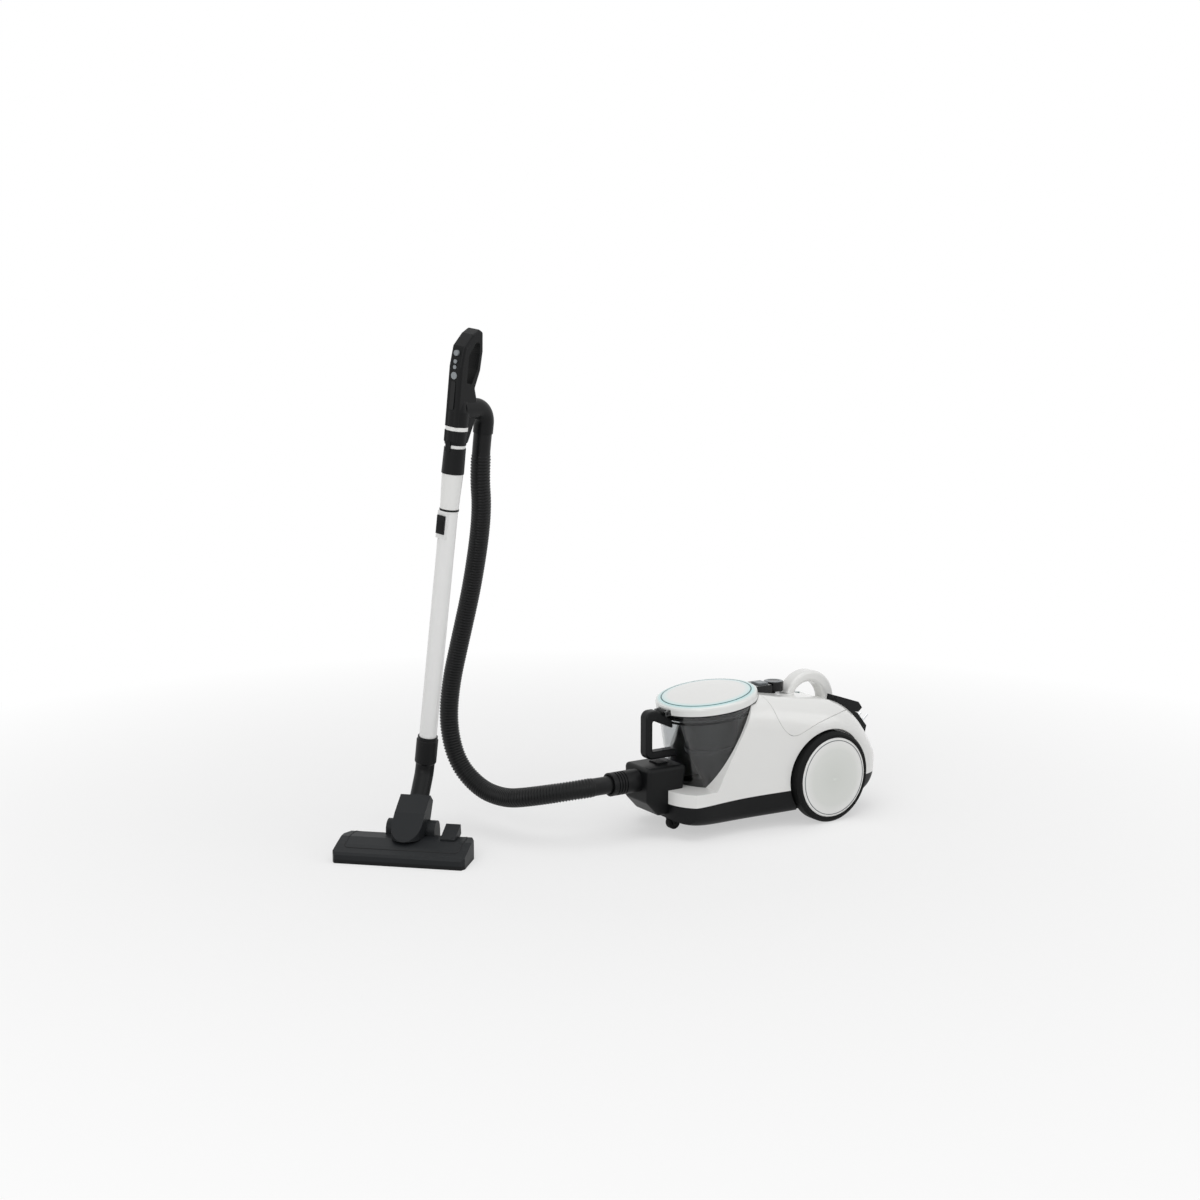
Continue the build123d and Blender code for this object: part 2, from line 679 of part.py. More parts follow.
winding_half = reel_half - REEL_FLANGE - FIT
winding = cylinder_y(REEL_X, REEL_Z, REEL_R - 4, -winding_half, winding_half)
put("cord_winding", winding - cylinder_y(REEL_X, REEL_Z, REEL_CORE_R + FIT, -HUGE, HUGE))
spring = cylinder_y(REEL_X, REEL_Z, REEL_CORE_R - 3.3, -reel_half + 2, reel_half - 16)
put("rewind_spring", spring - cylinder_y(REEL_X, REEL_Z, SPINDLE_R + FIT, -HUGE, HUGE))

# Control board on four posts under the deck.
BOARD_Z = 210
BOARD_FRONT = -74
BOARD_REAR = -8
BOARD_HALF_WIDTH = 30
BOARD_THICK = 1.6
board = block(BOARD_FRONT, BOARD_REAR, -BOARD_HALF_WIDTH, BOARD_HALF_WIDTH, BOARD_Z - BOARD_THICK, BOARD_Z)
put("control_board", board)
board_posts = []
for x in (BOARD_FRONT + 6, BOARD_REAR - 6):
    for y in (6 - BOARD_HALF_WIDTH, BOARD_HALF_WIDTH - 6):
        board_posts.append(Pos(x, y, BOARD_Z + 30) * Cylinder(3, 60))
pocket = control_panel + deck_holes
for post in board_posts:
    top_cover += post & body_outer & cover_zone
put("top_cover", top_cover - pocket)

# Base pan and shell, with the bosses and pads that carry the inner pieces.
motor_pad_top = MOTOR_Z - MOTOR_R - FIT
pads = [
    block(motor_front + 8, motor_front + 26, -26, 26, 0, motor_pad_top),
    block(motor_rear - 26, motor_rear - 8, -26, 26, 0, motor_pad_top),
    block(REEL_X - 20, REEL_X + 20, -28, 28, 0, bracket_foot),
    block(BODY_REAR - WALL - FILTER_THICK, BODY_REAR, -40, 40, 0, grille_low + 2),
    block(LID_CENTRE[0] - 40, LID_CENTRE[0] + 70, -20, 20, 0, SPLIT_FRONT) - bin_room,
]
base_pan = body_skin & below_split
for pad in pads:
    base_pan += pad & body_outer & below_split
caster_cup = Pos(CASTER_X, 0, CASTER_BOSS_LOW + WALL) * Cylinder(CASTER_ROOM_R + WALL, HUGE, align=DOWNWARD)
caster_room = Pos(CASTER_X, 0, CASTER_BOSS_LOW) * Cylinder(CASTER_ROOM_R, HUGE, align=DOWNWARD)
caster_seat = (caster_cup & body_outer & below_split) + caster_boss - bin_room
base_pan = base_pan + caster_seat - caster_room - caster_bore
SCREW_R = 2
SCREW_HEAD_R = 4
SCREW_LENGTH = 14
SCREW_PLACES = [(-60, 84), (-60, -84), (96, 62), (96, -62)]
screws = []
shell_holes = [axle_hole, mirror(axle_hole, Plane.XZ), grille_hole]
for x, y in SCREW_PLACES:
    screw_low = BODY_BOTTOM + 3
    head = Pos(x, y, screw_low + 3) * Cylinder(SCREW_HEAD_R, 3)
    shank = Pos(x, y, screw_low + 4.5 + SCREW_LENGTH / 2) * Cylinder(SCREW_R, SCREW_LENGTH)
    screws.append(head + shank)
    post_high = screw_low + 24
    post = Pos(x, y, post_high / 2) * Cylinder(SCREW_HEAD_R + 3, post_high)
    base_pan += post & body_outer & below_split
    base_pan -= Pos(x, y, screw_low + 4.5 + FIT - HUGE / 2) * Cylinder(SCREW_HEAD_R + FIT, HUGE)
    base_pan -= Pos(x, y, screw_low + 5 + SCREW_LENGTH / 2) * Cylinder(SCREW_R + FIT, SCREW_LENGTH + 3)
put("base_pan", base_pan)
put("housing_screws", Compound(children=screws))

body_shell = body_skin - below_split - cover_zone
for x, z in ((-SEAM_GAP, 0), (0, -SEAM_GAP), (SEAM_GAP, 0)):
    body_shell -= Pos(x, 0, z) * cover_zone
body_shell = body_shell + both_sides(axle_boss & body_outer) + grille_ears
for hole in shell_holes:
    body_shell -= hole

# Cord outlet hood, and the plug parked under it on the rear slope.
plug_low = PLUG_Y - PIN_SPACING / 2 - 6
plug_high = PLUG_Y + PIN_SPACING / 2 + 6
OUTLET_HOOD = [(60, 200), (66, 236), (124, 217), (134, 204), (124, 196), (100, 200), (86, 196)]
hood = extrude_xz(OUTLET_HOOD, plug_low, plug_high)
put("cord_outlet", hood - body_outer)
PLUG_TOP = (101, 202)
PLUG_TIP = (145, 150)
plug_run = math.hypot(PLUG_TIP[0] - PLUG_TOP[0], PLUG_TIP[1] - PLUG_TOP[1])
plug_along = ((PLUG_TIP[0] - PLUG_TOP[0]) / plug_run, (PLUG_TIP[1] - PLUG_TOP[1]) / plug_run)
plug_out = (-plug_along[1], plug_along[0])


def plug_point(along, out):
    """Point in x and z on the parked plug: along its back, and out from it."""
    x = PLUG_TOP[0] + along * plug_along[0] + out * plug_out[0]
    z = PLUG_TOP[1] + along * plug_along[1] + out * plug_out[1]
    return x, z


PLUG_FACE = 11
plug_outline = [(3, -12), (3, 0), (18, PLUG_FACE), (58, PLUG_FACE)]
plug_outline += [(plug_run, -3), (plug_run, -14), (30, -20)]
plug = extrude_xz([plug_point(*p) for p in plug_outline], plug_low, plug_high)
pin_x, pin_z = plug_point(46, PLUG_FACE)
PIN_FRAME = Location((pin_x, PLUG_Y, pin_z), (0, math.degrees(math.atan2(plug_out[0], plug_out[1])), 0))
pins = []
for offset_y in (-PIN_SPACING / 2, PIN_SPACING / 2):
    prong = Pos(0, offset_y, PIN_LENGTH / 2) * Cylinder(PIN_R, PIN_LENGTH)
    root = Pos(0, offset_y, -PIN_ROOT / 2) * Cylinder(PIN_R - 0.4, PIN_ROOT)
    pins.append(PIN_FRAME * (prong + root))
plug = plug - body_outer - hood
for pin in pins:
    plug -= pin
put("power_plug", plug)
put("plug_pins", Compound(children=pins))

# Inlet block on the nose, with its latch plate and the socket for the hose cuff.
inlet_outline = [
    (INLET_FRONT, INLET_FOOT + 28),
    (INLET_FRONT + 26, INLET_FOOT),
    (BODY_FRONT + 30, INLET_FOOT),
    (BODY_FRONT + 45, INLET_TOP),
    (INLET_FRONT, INLET_TOP),
]
inlet = rounded_bar(rounded_outline(inlet_outline, INLET_ROUND), INLET_HALF_WIDTH, INLET_ROUND)
inlet = inlet - bin_room - (body_outer - nose_cut) - caster_boss
spigot_r = CUFF_R - 3
inlet -= cylinder_x(0, INLET_AXIS_Z, INLET_BORE_R, INLET_FRONT - 1, -200)
inlet -= cylinder_x(0, INLET_AXIS_Z, spigot_r + RUN, INLET_FRONT - 1, INLET_FRONT + CUFF_SPIGOT + FIT)
LATCH_HALF_WIDTH = 15
LATCH_FRONT = INLET_FRONT + 40
LATCH_LENGTH = 24
LATCH_DEPTH = 6
latch_low = INLET_TOP - LATCH_DEPTH
inlet -= block(
    LATCH_FRONT - FIT, LATCH_FRONT + LATCH_LENGTH + FIT,
    -LATCH_HALF_WIDTH - FIT, LATCH_HALF_WIDTH + FIT,
    latch_low - 3.2, HUGE,
)
put("inlet_port", inlet)
latch_end = LATCH_FRONT + LATCH_LENGTH
latch_y = LATCH_HALF_WIDTH
latch = block(LATCH_FRONT, latch_end, -latch_y, latch_y, latch_low, INLET_TOP + 1)
fin_pitch = LATCH_LENGTH / INLET_FINS
for index in range(INLET_FINS):
    fin_x = LATCH_FRONT + (index + 0.25) * fin_pitch
    latch += block(fin_x, fin_x + fin_pitch / 2, -latch_y, latch_y, INLET_TOP, INLET_TOP + 3)
put("hose_latch", latch - bin_room)
put("body_shell", body_shell)

# Dust bin set, drawn about its own axis and tilted into place.
BIN_RIM_Z = -LID_RIM - SEAL_THICK
LEDGE_Z = BIN_RIM_Z - 9
LEDGE_WIDTH = 5
LEDGE_THICK = 3
rim_r = bin_radius(-BIN_RIM_Z)


def bin_solid(inset, top, floor_z):
    """The bin's tapered form, drawn in by inset, from its floor to a height."""
    return turned(
        [
            (0, floor_z),
            (bin_radius(-floor_z) - inset, floor_z),
            (bin_radius(-top) - inset, top),
            (0, top),
        ]
    )


cup = bin_solid(0, BIN_RIM_Z, -BIN_DEPTH)
cup = fillet(cup.edges().filter_by(GeomType.CIRCLE).group_by(Axis.Z)[0], BIN_FOOT_FILLET)
cup_inside = bin_solid(BIN_WALL, BIN_RIM_Z + 1, BIN_WALL - BIN_DEPTH)
foot_edges = cup_inside.edges().filter_by(GeomType.CIRCLE).group_by(Axis.Z)[0]
cup_inside = fillet(foot_edges, BIN_FOOT_FILLET - BIN_WALL)
ledge_r = bin_radius(-LEDGE_Z) - BIN_WALL
ledge = turned(
    [
        (ledge_r + 1, LEDGE_Z),
        (ledge_r - LEDGE_WIDTH, LEDGE_Z),
        (ledge_r - LEDGE_WIDTH, LEDGE_Z - LEDGE_THICK),
        (ledge_r + 1, LEDGE_Z - LEDGE_THICK - LEDGE_WIDTH),
    ]
)
bin_port = cylinder_x(0, INLET_AXIS_Z, INLET_BORE_R, -340, LID_CENTRE[0] - 50)
put("dust_bin", BIN_FRAME * (cup - cup_inside + ledge) - bin_port)
seal_top = -LID_RIM - FIT
seal_in = rim_r - SEAL_WIDTH
seal_outline = [(seal_in, BIN_RIM_Z), (rim_r, BIN_RIM_Z), (rim_r, seal_top), (seal_in, seal_top)]
put("bin_seal", BIN_FRAME * turned(seal_outline))

# Cyclone: a flange on the bin's ledge, a tapered shroud, and the cone below it.
shroud_foot = LEDGE_Z - CYCLONE_SHROUD_DEPTH
cone_foot = LEDGE_Z - CYCLONE_DEPTH
flange_r = ledge_r - FIT
flange_top = LEDGE_Z + CYCLONE_WALL
put(
    "cyclone_shroud",
    BIN_FRAME
    * turned(
        [
            (flange_r, LEDGE_Z),
            (flange_r, flange_top),
            (CYCLONE_TOP_R - CYCLONE_WALL, flange_top),
            (CYCLONE_MID_R - CYCLONE_WALL, shroud_foot),
            (CYCLONE_MID_R, shroud_foot),
            (CYCLONE_TOP_R, LEDGE_Z),
        ]
    ),
)
put(
    "cyclone_cone",
    BIN_FRAME
    * turned(
        [
            (CYCLONE_MID_R + 4, shroud_foot),
            (CYCLONE_MID_R - CYCLONE_WALL, shroud_foot),
            (CYCLONE_FOOT_R - CYCLONE_WALL, cone_foot),
            (CYCLONE_FOOT_R, cone_foot),
            (CYCLONE_MID_R + 1, shroud_foot - 8),
            (CYCLONE_MID_R + 4, shroud_foot - 8),
        ]
    ),
)

# Lid with its coloured ring, hinged at the front on the bin's handle.
LID_SKIN = 3
LID_HINGE = (-LID_R - 7, -12)
HINGE_BARREL_R = 6.6
HINGE_BARREL_Y = BIN_GRIP_WIDTH / 2
LUG_INNER_Y = HINGE_BARREL_Y + FIT
LUG_OUTER_Y = LUG_INNER_Y + 6
ring_low = RING_R - RING_WIDTH / 2
ring_high = RING_R + RING_WIDTH / 2
lid = turned(
    [
        (0, LID_CROWN),
        (LID_R * 0.5, LID_CROWN * 0.76),
        (ring_low - 4, 1.4),
        (LID_R - 5, -0.6),
        (LID_R - 1, -3),
        (LID_R, -6),
        (LID_R, -LID_RIM),
        (LID_R - LID_SKIN - 6, -LID_RIM),
        (LID_R - LID_SKIN - 6, -5),
        (0, LID_CROWN - LID_SKIN),
    ]
)
groove_floor = RING_TOP - RING_DEPTH
groove = turned([(ring_low, groove_floor), (ring_high, groove_floor), (ring_high, 9), (ring_low, 9)])
lug = extrude_xz(
    [
        (LID_HINGE[0] - 5, LID_HINGE[1] + 5),
        (LID_HINGE[0] - 5, LID_HINGE[1] - 4),
        (LID_HINGE[0] + 4, LID_HINGE[1] - 5),
        (3 - LID_R * 0.97, -LID_RIM),
        (3 - LID_R * 0.97, LID_HINGE[1] + 6),
    ],
    LUG_INNER_Y,
    LUG_OUTER_Y,
)
lug_hole = cylinder_y(*LID_HINGE, LID_PIN_R + RUN, -HUGE, HUGE)
lid_inside = turned([(0, -HUGE), (LID_R - LID_SKIN - 6, -HUGE), (LID_R - LID_SKIN - 6, -5), (0, -5)])
put("bin_lid", BIN_FRAME * (lid - groove + both_sides(lug - lid_inside) - lug_hole))
put(
    "lid_ring",
    BIN_FRAME
    * turned(
        [
            (ring_low + RUN, groove_floor),
            (ring_high - RUN, groove_floor),
            (ring_high - RUN, RING_TOP),
            (ring_low + RUN, RING_TOP + 0.3),
        ]
    ),
)

# Bin handle: an upright grip with two arms that meet the bin, and the lid's hinge barrel on the upper arm.
grip_out = BIN_GRIP_X - BIN_GRIP_THICK / 2
grip_in = BIN_GRIP_X + BIN_GRIP_THICK / 2
grip_edge_x = LID_CENTRE[0] - 44
grip_face = make_face(
    Polyline(
        (grip_out, BIN_GRIP_FOOT),
        (grip_out, BIN_GRIP_TOP),
        (grip_in + 10, BIN_GRIP_TOP),
        (-300, BIN_GRIP_TOP - 23),
        (grip_edge_x, BIN_GRIP_TOP - 23),
        (grip_edge_x, BIN_GRIP_FOOT),
        close=True,
    )
)
grip_face = fillet(grip_face.vertices().group_by(Axis.X)[0], BIN_GRIP_CORNER)
gap_face = make_face(
    Polyline(
        (grip_in, BIN_GRIP_FOOT + BIN_GRIP_ARM),
        (grip_in, BIN_GRIP_TOP - BIN_GRIP_ARM - 3),
        (-300, BIN_GRIP_TOP - 40),
        (grip_edge_x + 10, BIN_GRIP_TOP - 40),
        (grip_edge_x + 10, BIN_GRIP_FOOT + BIN_GRIP_ARM),
        close=True,
    )
)
gap_face = fillet(gap_face.vertices().group_by(Axis.X)[0], BIN_GRIP_EDGE)
bin_grip = rounded_bar(grip_face - gap_face, BIN_GRIP_WIDTH / 2, BIN_GRIP_EDGE)
bin_block = BIN_FRAME * bin_solid(0, 60, -BIN_DEPTH)
barrel_bar = cylinder_y(*LID_HINGE, HINGE_BARREL_R, -HINGE_BARREL_Y, HINGE_BARREL_Y)
hinge_pin = cylinder_y(*LID_HINGE, LID_PIN_R, -LUG_OUTER_Y, LUG_OUTER_Y)
put("bin_handle", bin_grip - bin_block + BIN_FRAME * (barrel_bar + hinge_pin))

# Hose cuff: turns in the inlet, ribbed outside, with a seat for the hose's end.
cuff_front = INLET_FRONT - FIT
cuff_end = cuff_front - CUFF_LENGTH + CUFF_SPIGOT
HOSE_SEAT = 8
cuff = cylinder_x(0, INLET_AXIS_Z, CUFF_R, cuff_end, cuff_front)
rib_pitch = 6
for index in range(CUFF_RIBS):
    groove_x = cuff_end + 10 + index * rib_pitch
    ring = cylinder_x(0, INLET_AXIS_Z, CUFF_R + 1, groove_x, groove_x + 2.5)
    cuff -= ring - cylinder_x(0, INLET_AXIS_Z, CUFF_R - 1.5, groove_x - 1, groove_x + 4)
cuff += cylinder_x(0, INLET_AXIS_Z, spigot_r, cuff_front - 1, cuff_front + CUFF_SPIGOT)
cuff -= cylinder_x(0, INLET_AXIS_Z, HOSE_BORE_R, cuff_end - 1, cuff_front + CUFF_SPIGOT + 1)
put("hose_cuff", cuff - cylinder_x(0, INLET_AXIS_Z, HOSE_R + FIT, cuff_end - 1, cuff_end + HOSE_SEAT))

# Wand frame: z up its axis from the elbow, x towards the handle's outlet.
lean = math.radians(WAND_LEAN)
towards = math.radians(WAND_LEAN_TOWARDS)
wand_z = Vector(math.sin(lean) * math.cos(towards), math.sin(lean) * math.sin(towards), math.cos(lean))
facing = Vector(math.cos(math.radians(WAND_TURN)), math.sin(math.radians(WAND_TURN)), 0)
wand_x = (facing - wand_z * wand_z.dot(facing)).normalized()
WAND = Plane(origin=ELBOW_POINT, x_dir=wand_x, z_dir=wand_z).location


def sleeve(low, high, outer_low, outer_high, bore):
    """Hollow turned piece along the wand."""
    return turned([(bore, low), (outer_low, low), (outer_high, high), (bore, high)])


tube_bore = TUBE_R - TUBE_WALL
lower_tube = sleeve(TUBE_SEAT + FIT, TUBE_TOP, TUBE_R, TUBE_R, tube_bore)
LOCK_LOW = TUBE_TOP - 42
LOCK_HEIGHT = 34
LOCK_HALF_WIDTH = 9
LOCK_TRAVEL = 6
LOCK_PROUD = 5
lock_face = -TUBE_R - LOCK_PROUD
saddle_face = -TUBE_R - 1.6
saddle_y = LOCK_HALF_WIDTH + 2
saddle = block(saddle_face, 3 - TUBE_R, -saddle_y, saddle_y, LOCK_LOW - LOCK_TRAVEL - 3, TUBE_TOP)
tube_core = Pos(0, 0, TUBE_TOP / 2) * Cylinder(tube_bore, TUBE_TOP * 2)
bush = sleeve(TUBE_TOP - 2, BUSH_TOP - FIT, TUBE_R + 1, TUBE_R + 1, INNER_TUBE_R + FIT)
put("lower_tube", WAND * (lower_tube + (saddle - tube_core) + bush))
lock_y = LOCK_HALF_WIDTH
lock = block(lock_face, saddle_face - FIT, -lock_y, lock_y, LOCK_LOW, LOCK_LOW + LOCK_HEIGHT)
for index in range(4):
    grip_s = LOCK_LOW + 6 + index * 5
    lock += block(lock_face - 0.8, lock_face + 1, 2 - lock_y, lock_y - 2, grip_s, grip_s + 2)
put("tele_button", WAND * lock)
inner_bore = INNER_TUBE_R - TUBE_WALL
upper_tube = sleeve(INNER_TUBE_FOOT, COLLAR_TOP - 20, INNER_TUBE_R, INNER_TUBE_R, inner_bore)
put("upper_tube", WAND * upper_tube)
put("tele_sleeve", WAND * sleeve(BUSH_TOP, SLEEVE_TOP, SLEEVE_FOOT_R, SLEEVE_TOP_R, INNER_TUBE_R + RUN))
SPIGOT_DEPTH = 19
spigot_outer = INNER_TUBE_R + 2.5
collar = sleeve(SLEEVE_TOP, COLLAR_TOP, COLLAR_R, COLLAR_R - 0.8, INNER_TUBE_R + RUN)
collar -= Pos(0, 0, COLLAR_TOP) * Cylinder(spigot_outer + RUN, 2 * SPIGOT_DEPTH + 2 * FIT)
put("wand_collar", WAND * collar)

# Handle: a loop grip whose round neck sits on the collar, with the hose outlet at its back.
HANDLE_OUTLINE = [
    (-18.5, HANDLE_LOW + 2),
    (-21, HANDLE_LOW + 140),
    (-16, HANDLE_LOW + 176),
    (4, HANDLE_LOW + 198),
    (20, HANDLE_LOW + 207),
    (31, HANDLE_LOW + 202),
    (36, HANDLE_LOW + 168),
    (34, HANDLE_LOW + 134),
    (24, HANDLE_LOW + 102),
    (36, HANDLE_LOW + 72),
    (36, HANDLE_LOW + 52),
    (18.5, HANDLE_LOW + 2),
]
LOOP_OUTLINE = [
    (-2, HANDLE_LOW + 112),
    (-3, HANDLE_LOW + 160),
    (12, HANDLE_LOW + 182),
    (23, HANDLE_LOW + 188),
    (26, HANDLE_LOW + 164),
    (24, HANDLE_LOW + 136),
    (10, HANDLE_LOW + 106),
]


GRIP_EDGE = 5
grip = rounded_bar(rounded_outline(HANDLE_OUTLINE, GRIP_EDGE), GRIP_HALF_WIDTH, GRIP_EDGE)
loop = extrude(Plane.XZ.offset(-HUGE / 2) * rounded_outline(LOOP_OUTLINE, GRIP_EDGE), amount=HUGE)
neck_top = HANDLE_LOW + 84
shoulder_s = HANDLE_LOW + 60
NECK_TIP_R = 14
neck_points = [(0, HANDLE_LOW), (COLLAR_R - 1, HANDLE_LOW), (COLLAR_R, shoulder_s)]
neck = turned(neck_points + [(NECK_TIP_R, neck_top), (0, neck_top)])
outlet = cylinder_x(0, OUTLET_S, HOSE_R + 2, 0, OUTLET_END)
air_way = Pos(0, 0, HANDLE_LOW + 30) * Cylinder(INNER_TUBE_R, 2 * 36)
outlet_bore = cylinder_x(0, OUTLET_S, HOSE_BORE_R + 1, -4, OUTLET_END + 1)
spigot = sleeve(COLLAR_TOP - SPIGOT_DEPTH, HANDLE_LOW + 1, spigot_outer, spigot_outer, INNER_TUBE_R)
BUTTON_SPOTS = [
    ("button_power", 5, HANDLE_LOW + 164),
    ("button_up", 3.6, HANDLE_LOW + 149),
    ("button_down", 3.6, HANDLE_LOW + 139),
    ("button_mode", 6.5, HANDLE_LOW + 124),
]
PRESS = 1.5
KEY_DEPTH = 6
handle_front = -20.6
handle_body = grip + neck + outlet - loop - air_way - outlet_bore + spigot
for name, key_r, s in BUTTON_SPOTS:
    handle_body -= cylinder_x(0, s, key_r + FIT, -HUGE, handle_front + KEY_DEPTH + PRESS)
    key = cylinder_x(0, s, key_r, handle_front - 1.2, handle_front + KEY_DEPTH - 0.3)
    put(name, WAND * key)
BAND_S = HANDLE_LOW + 26
band_cut = sleeve(BAND_S, BAND_S + 7, COLLAR_R + 9, COLLAR_R + 9, COLLAR_R - 1.6)
band_zone = block(-HUGE, 8, -HUGE, HUGE, 0, 2 * HUGE)
band = sleeve(BAND_S + RUN, BAND_S + 7 - RUN, COLLAR_R + 0.2, COLLAR_R + 0.2, COLLAR_R - 1.6) & band_zone
gap_ring = sleeve(COLLAR_TOP, HANDLE_LOW, COLLAR_R - 2, COLLAR_R - 2, spigot_outer + RUN)
put("handle_body", WAND * (handle_body - (band_cut & band_zone)))
put("handle_trim", WAND * Compound(children=[band, gap_ring]))

# Floor nozzle frame: x along its mouth, y to its rear, from the middle of its front edge.
NOZZLE = Location(NOZZLE_FRONT_MIDDLE, (0, 0, NOZZLE_YAW))
half_length = NOZZLE_LENGTH / 2


def extrude_yz(points, x_low, x_high):
    """Prism of an outline drawn in y and z, running along x."""
    face = make_face(Polyline(*points, close=True))
    return extrude(Plane.YZ.offset(x_low) * face, amount=x_high - x_low)


def end_cut(inset):
    """What the slanted rear corners of the nozzle cut away, drawn in by inset."""
    corner = make_face(
        Polyline(
            (half_length - inset - 6, -1),
            (half_length - inset, 8),
            (half_length - inset, 70),
            (half_length - inset - 22, NOZZLE_DEPTH + 1),
            (half_length * 2, NOZZLE_DEPTH + 1),
            (half_length * 2, -1),
            close=True,
        )
    )
    cut = extrude(corner, amount=HUGE)
    return cut + mirror(cut, Plane.YZ)


SLOT_FRONT = 24
SLOT_WIDTH = 22
SLOT_HALF_LENGTH = half_length - 22
sole = block(-half_length, half_length, 0, NOZZLE_DEPTH - 4, 0, SOLE_THICK) - end_cut(0)
sole -= block(-SLOT_HALF_LENGTH, SLOT_HALF_LENGTH, SLOT_FRONT, SLOT_FRONT + SLOT_WIDTH, -1, SOLE_THICK + 1)
BRUSH_Y = 12
BRUSH_THICK = 3
BRUSH_HALF_LENGTH = half_length - 20
BRUSH_DROP = 5
brush_end = BRUSH_HALF_LENGTH + FIT
brush_rear = BRUSH_Y + BRUSH_THICK + FIT
sole -= block(-brush_end, brush_end, BRUSH_Y - FIT, brush_rear, -1, SOLE_THICK + 1)
ROLLER_X = 86
ROLLER_Y = NOZZLE_DEPTH - 18
ROLLER_Z = ROLLER_R + 2
ROLLER_PIN_R = 2
for side in (LEFT, RIGHT):
    middle = side * ROLLER_X
    reach = ROLLER_WIDTH / 2 + 1
    room_y = ROLLER_R + 2
    sole -= block(middle - reach, middle + reach, ROLLER_Y - room_y, ROLLER_Y + room_y, -1, SOLE_THICK + 1)
put("nozzle_sole", NOZZLE * sole)

hood_outline = [
    (0, SOLE_THICK),
    (0, NOZZLE_LIP),
    (5, NOZZLE_LIP + 4),
    (30, NOZZLE_FRONT_HEIGHT),
    (56, NOZZLE_TOP),
    (88, NOZZLE_TOP),
    (NOZZLE_DEPTH, 20),
    (NOZZLE_DEPTH, SOLE_THICK),
]
room_outline = [
    (HOOD_WALL, SOLE_THICK - 1),
    (HOOD_WALL, NOZZLE_LIP - 2),
    (7, NOZZLE_LIP + 4 - HOOD_WALL),
    (30, NOZZLE_FRONT_HEIGHT - HOOD_WALL),
    (56, NOZZLE_TOP - HOOD_WALL),
    (86, NOZZLE_TOP - HOOD_WALL),
    (NOZZLE_DEPTH - HOOD_WALL, 18),
    (NOZZLE_DEPTH - HOOD_WALL, SOLE_THICK - 1),
]
hood = extrude_yz(hood_outline, -half_length, half_length) - end_cut(0)
room = extrude_yz(room_outline, HOOD_WALL - half_length, half_length - HOOD_WALL) - end_cut(HOOD_WALL)

# Pivot: the yoke's barrel turns on two pins that stand in towers of the hood.
barrel_bed = PIVOT_R + 1
yoke_gap = cylinder_x(PIVOT_Y, PIVOT_Z, barrel_bed, -PIVOT_HALF - FIT, PIVOT_HALF + FIT)
yoke_gap += block(-PIVOT_HALF - FIT, PIVOT_HALF + FIT, PIVOT_Y, HUGE, SOLE_THICK + 4, HUGE)
tower_outer = PIVOT_HALF + TOWER_WIDTH
tower = cylinder_x(PIVOT_Y, PIVOT_Z, PIVOT_R - 1, PIVOT_HALF + FIT, tower_outer)
tower_front = PIVOT_Y - PIVOT_R + 1
tower += block(PIVOT_HALF + FIT, tower_outer, tower_front, NOZZLE_DEPTH - 1, SOLE_THICK + 4, PIVOT_Z)
towers = tower + mirror(tower, Plane.YZ)
pivot_hole = cylinder_x(PIVOT_Y, PIVOT_Z, PIVOT_PIN_R + RUN, -tower_outer + 6, tower_outer - 6)
PEDAL_HALF = 14
PEDAL_FRONT = 56
PEDAL_REAR = 104
PEDAL_RISE = 20
PEDAL_HINGE = (PEDAL_FRONT + 18, NOZZLE_TOP - 6)
PEDAL_TURN = 10
PEDAL_PIN_R = 2
well_half = PEDAL_HALF + FIT
well_front = PEDAL_FRONT - FIT
well_rear = PEDAL_REAR + FIT
pedal_well = block(
    PEDAL_X - well_half, PEDAL_X + well_half, well_front, well_rear, NOZZLE_TOP - 14, HUGE
)
pedal_end = well_half + HOOD_WALL
pedal_box = block(
    PEDAL_X - pedal_end, PEDAL_X + pedal_end,
    well_front - HOOD_WALL, well_rear + HOOD_WALL,
    SOLE_THICK + 4, NOZZLE_TOP,
)
room = room - pedal_box
pedal_bore = cylinder_x(*PEDAL_HINGE, PEDAL_PIN_R + RUN, PEDAL_X - pedal_end, PEDAL_X + pedal_end)
hood_block = hood
hood = hood - room
roller_end = ROLLER_WIDTH / 2 + 4
for side in (LEFT, RIGHT):
    middle = side * ROLLER_X
    for face in (LEFT, RIGHT):
        ear_x = middle + face * (ROLLER_WIDTH / 2 + 2.4)
        hood += block(ear_x - 2, ear_x + 2, ROLLER_Y - 5, ROLLER_Y + 5, SOLE_THICK, NOZZLE_TOP) & hood_block
hood = hood - pedal_well - yoke_gap + towers - pivot_hole - pedal_bore
roller_bore = cylinder_x(ROLLER_Y, ROLLER_Z, ROLLER_PIN_R + RUN, -half_length + 12, half_length - 12)
for side in (LEFT, RIGHT):
    middle = side * ROLLER_X
    reach = ROLLER_WIDTH / 2 + FIT
    room_y = ROLLER_R + 1
    room_top = ROLLER_Z + ROLLER_R + 1.5
    roller_room = block(-reach, reach, ROLLER_Y - room_y, ROLLER_Y + room_y, SOLE_THICK - 1, room_top)
    hood -= Pos(middle, 0, 0) * roller_room
put("nozzle_hood", NOZZLE * (hood - roller_bore))
rollers = []
for side in (LEFT, RIGHT):
    middle = side * ROLLER_X
    reach = ROLLER_WIDTH / 2
    wheel = cylinder_x(ROLLER_Y, ROLLER_Z, ROLLER_R, middle - reach, middle + reach)
    pin = cylinder_x(ROLLER_Y, ROLLER_Z, ROLLER_PIN_R, middle - roller_end, middle + roller_end)
    rollers.append(wheel + pin)
put("nozzle_rollers", NOZZLE * Compound(children=rollers))
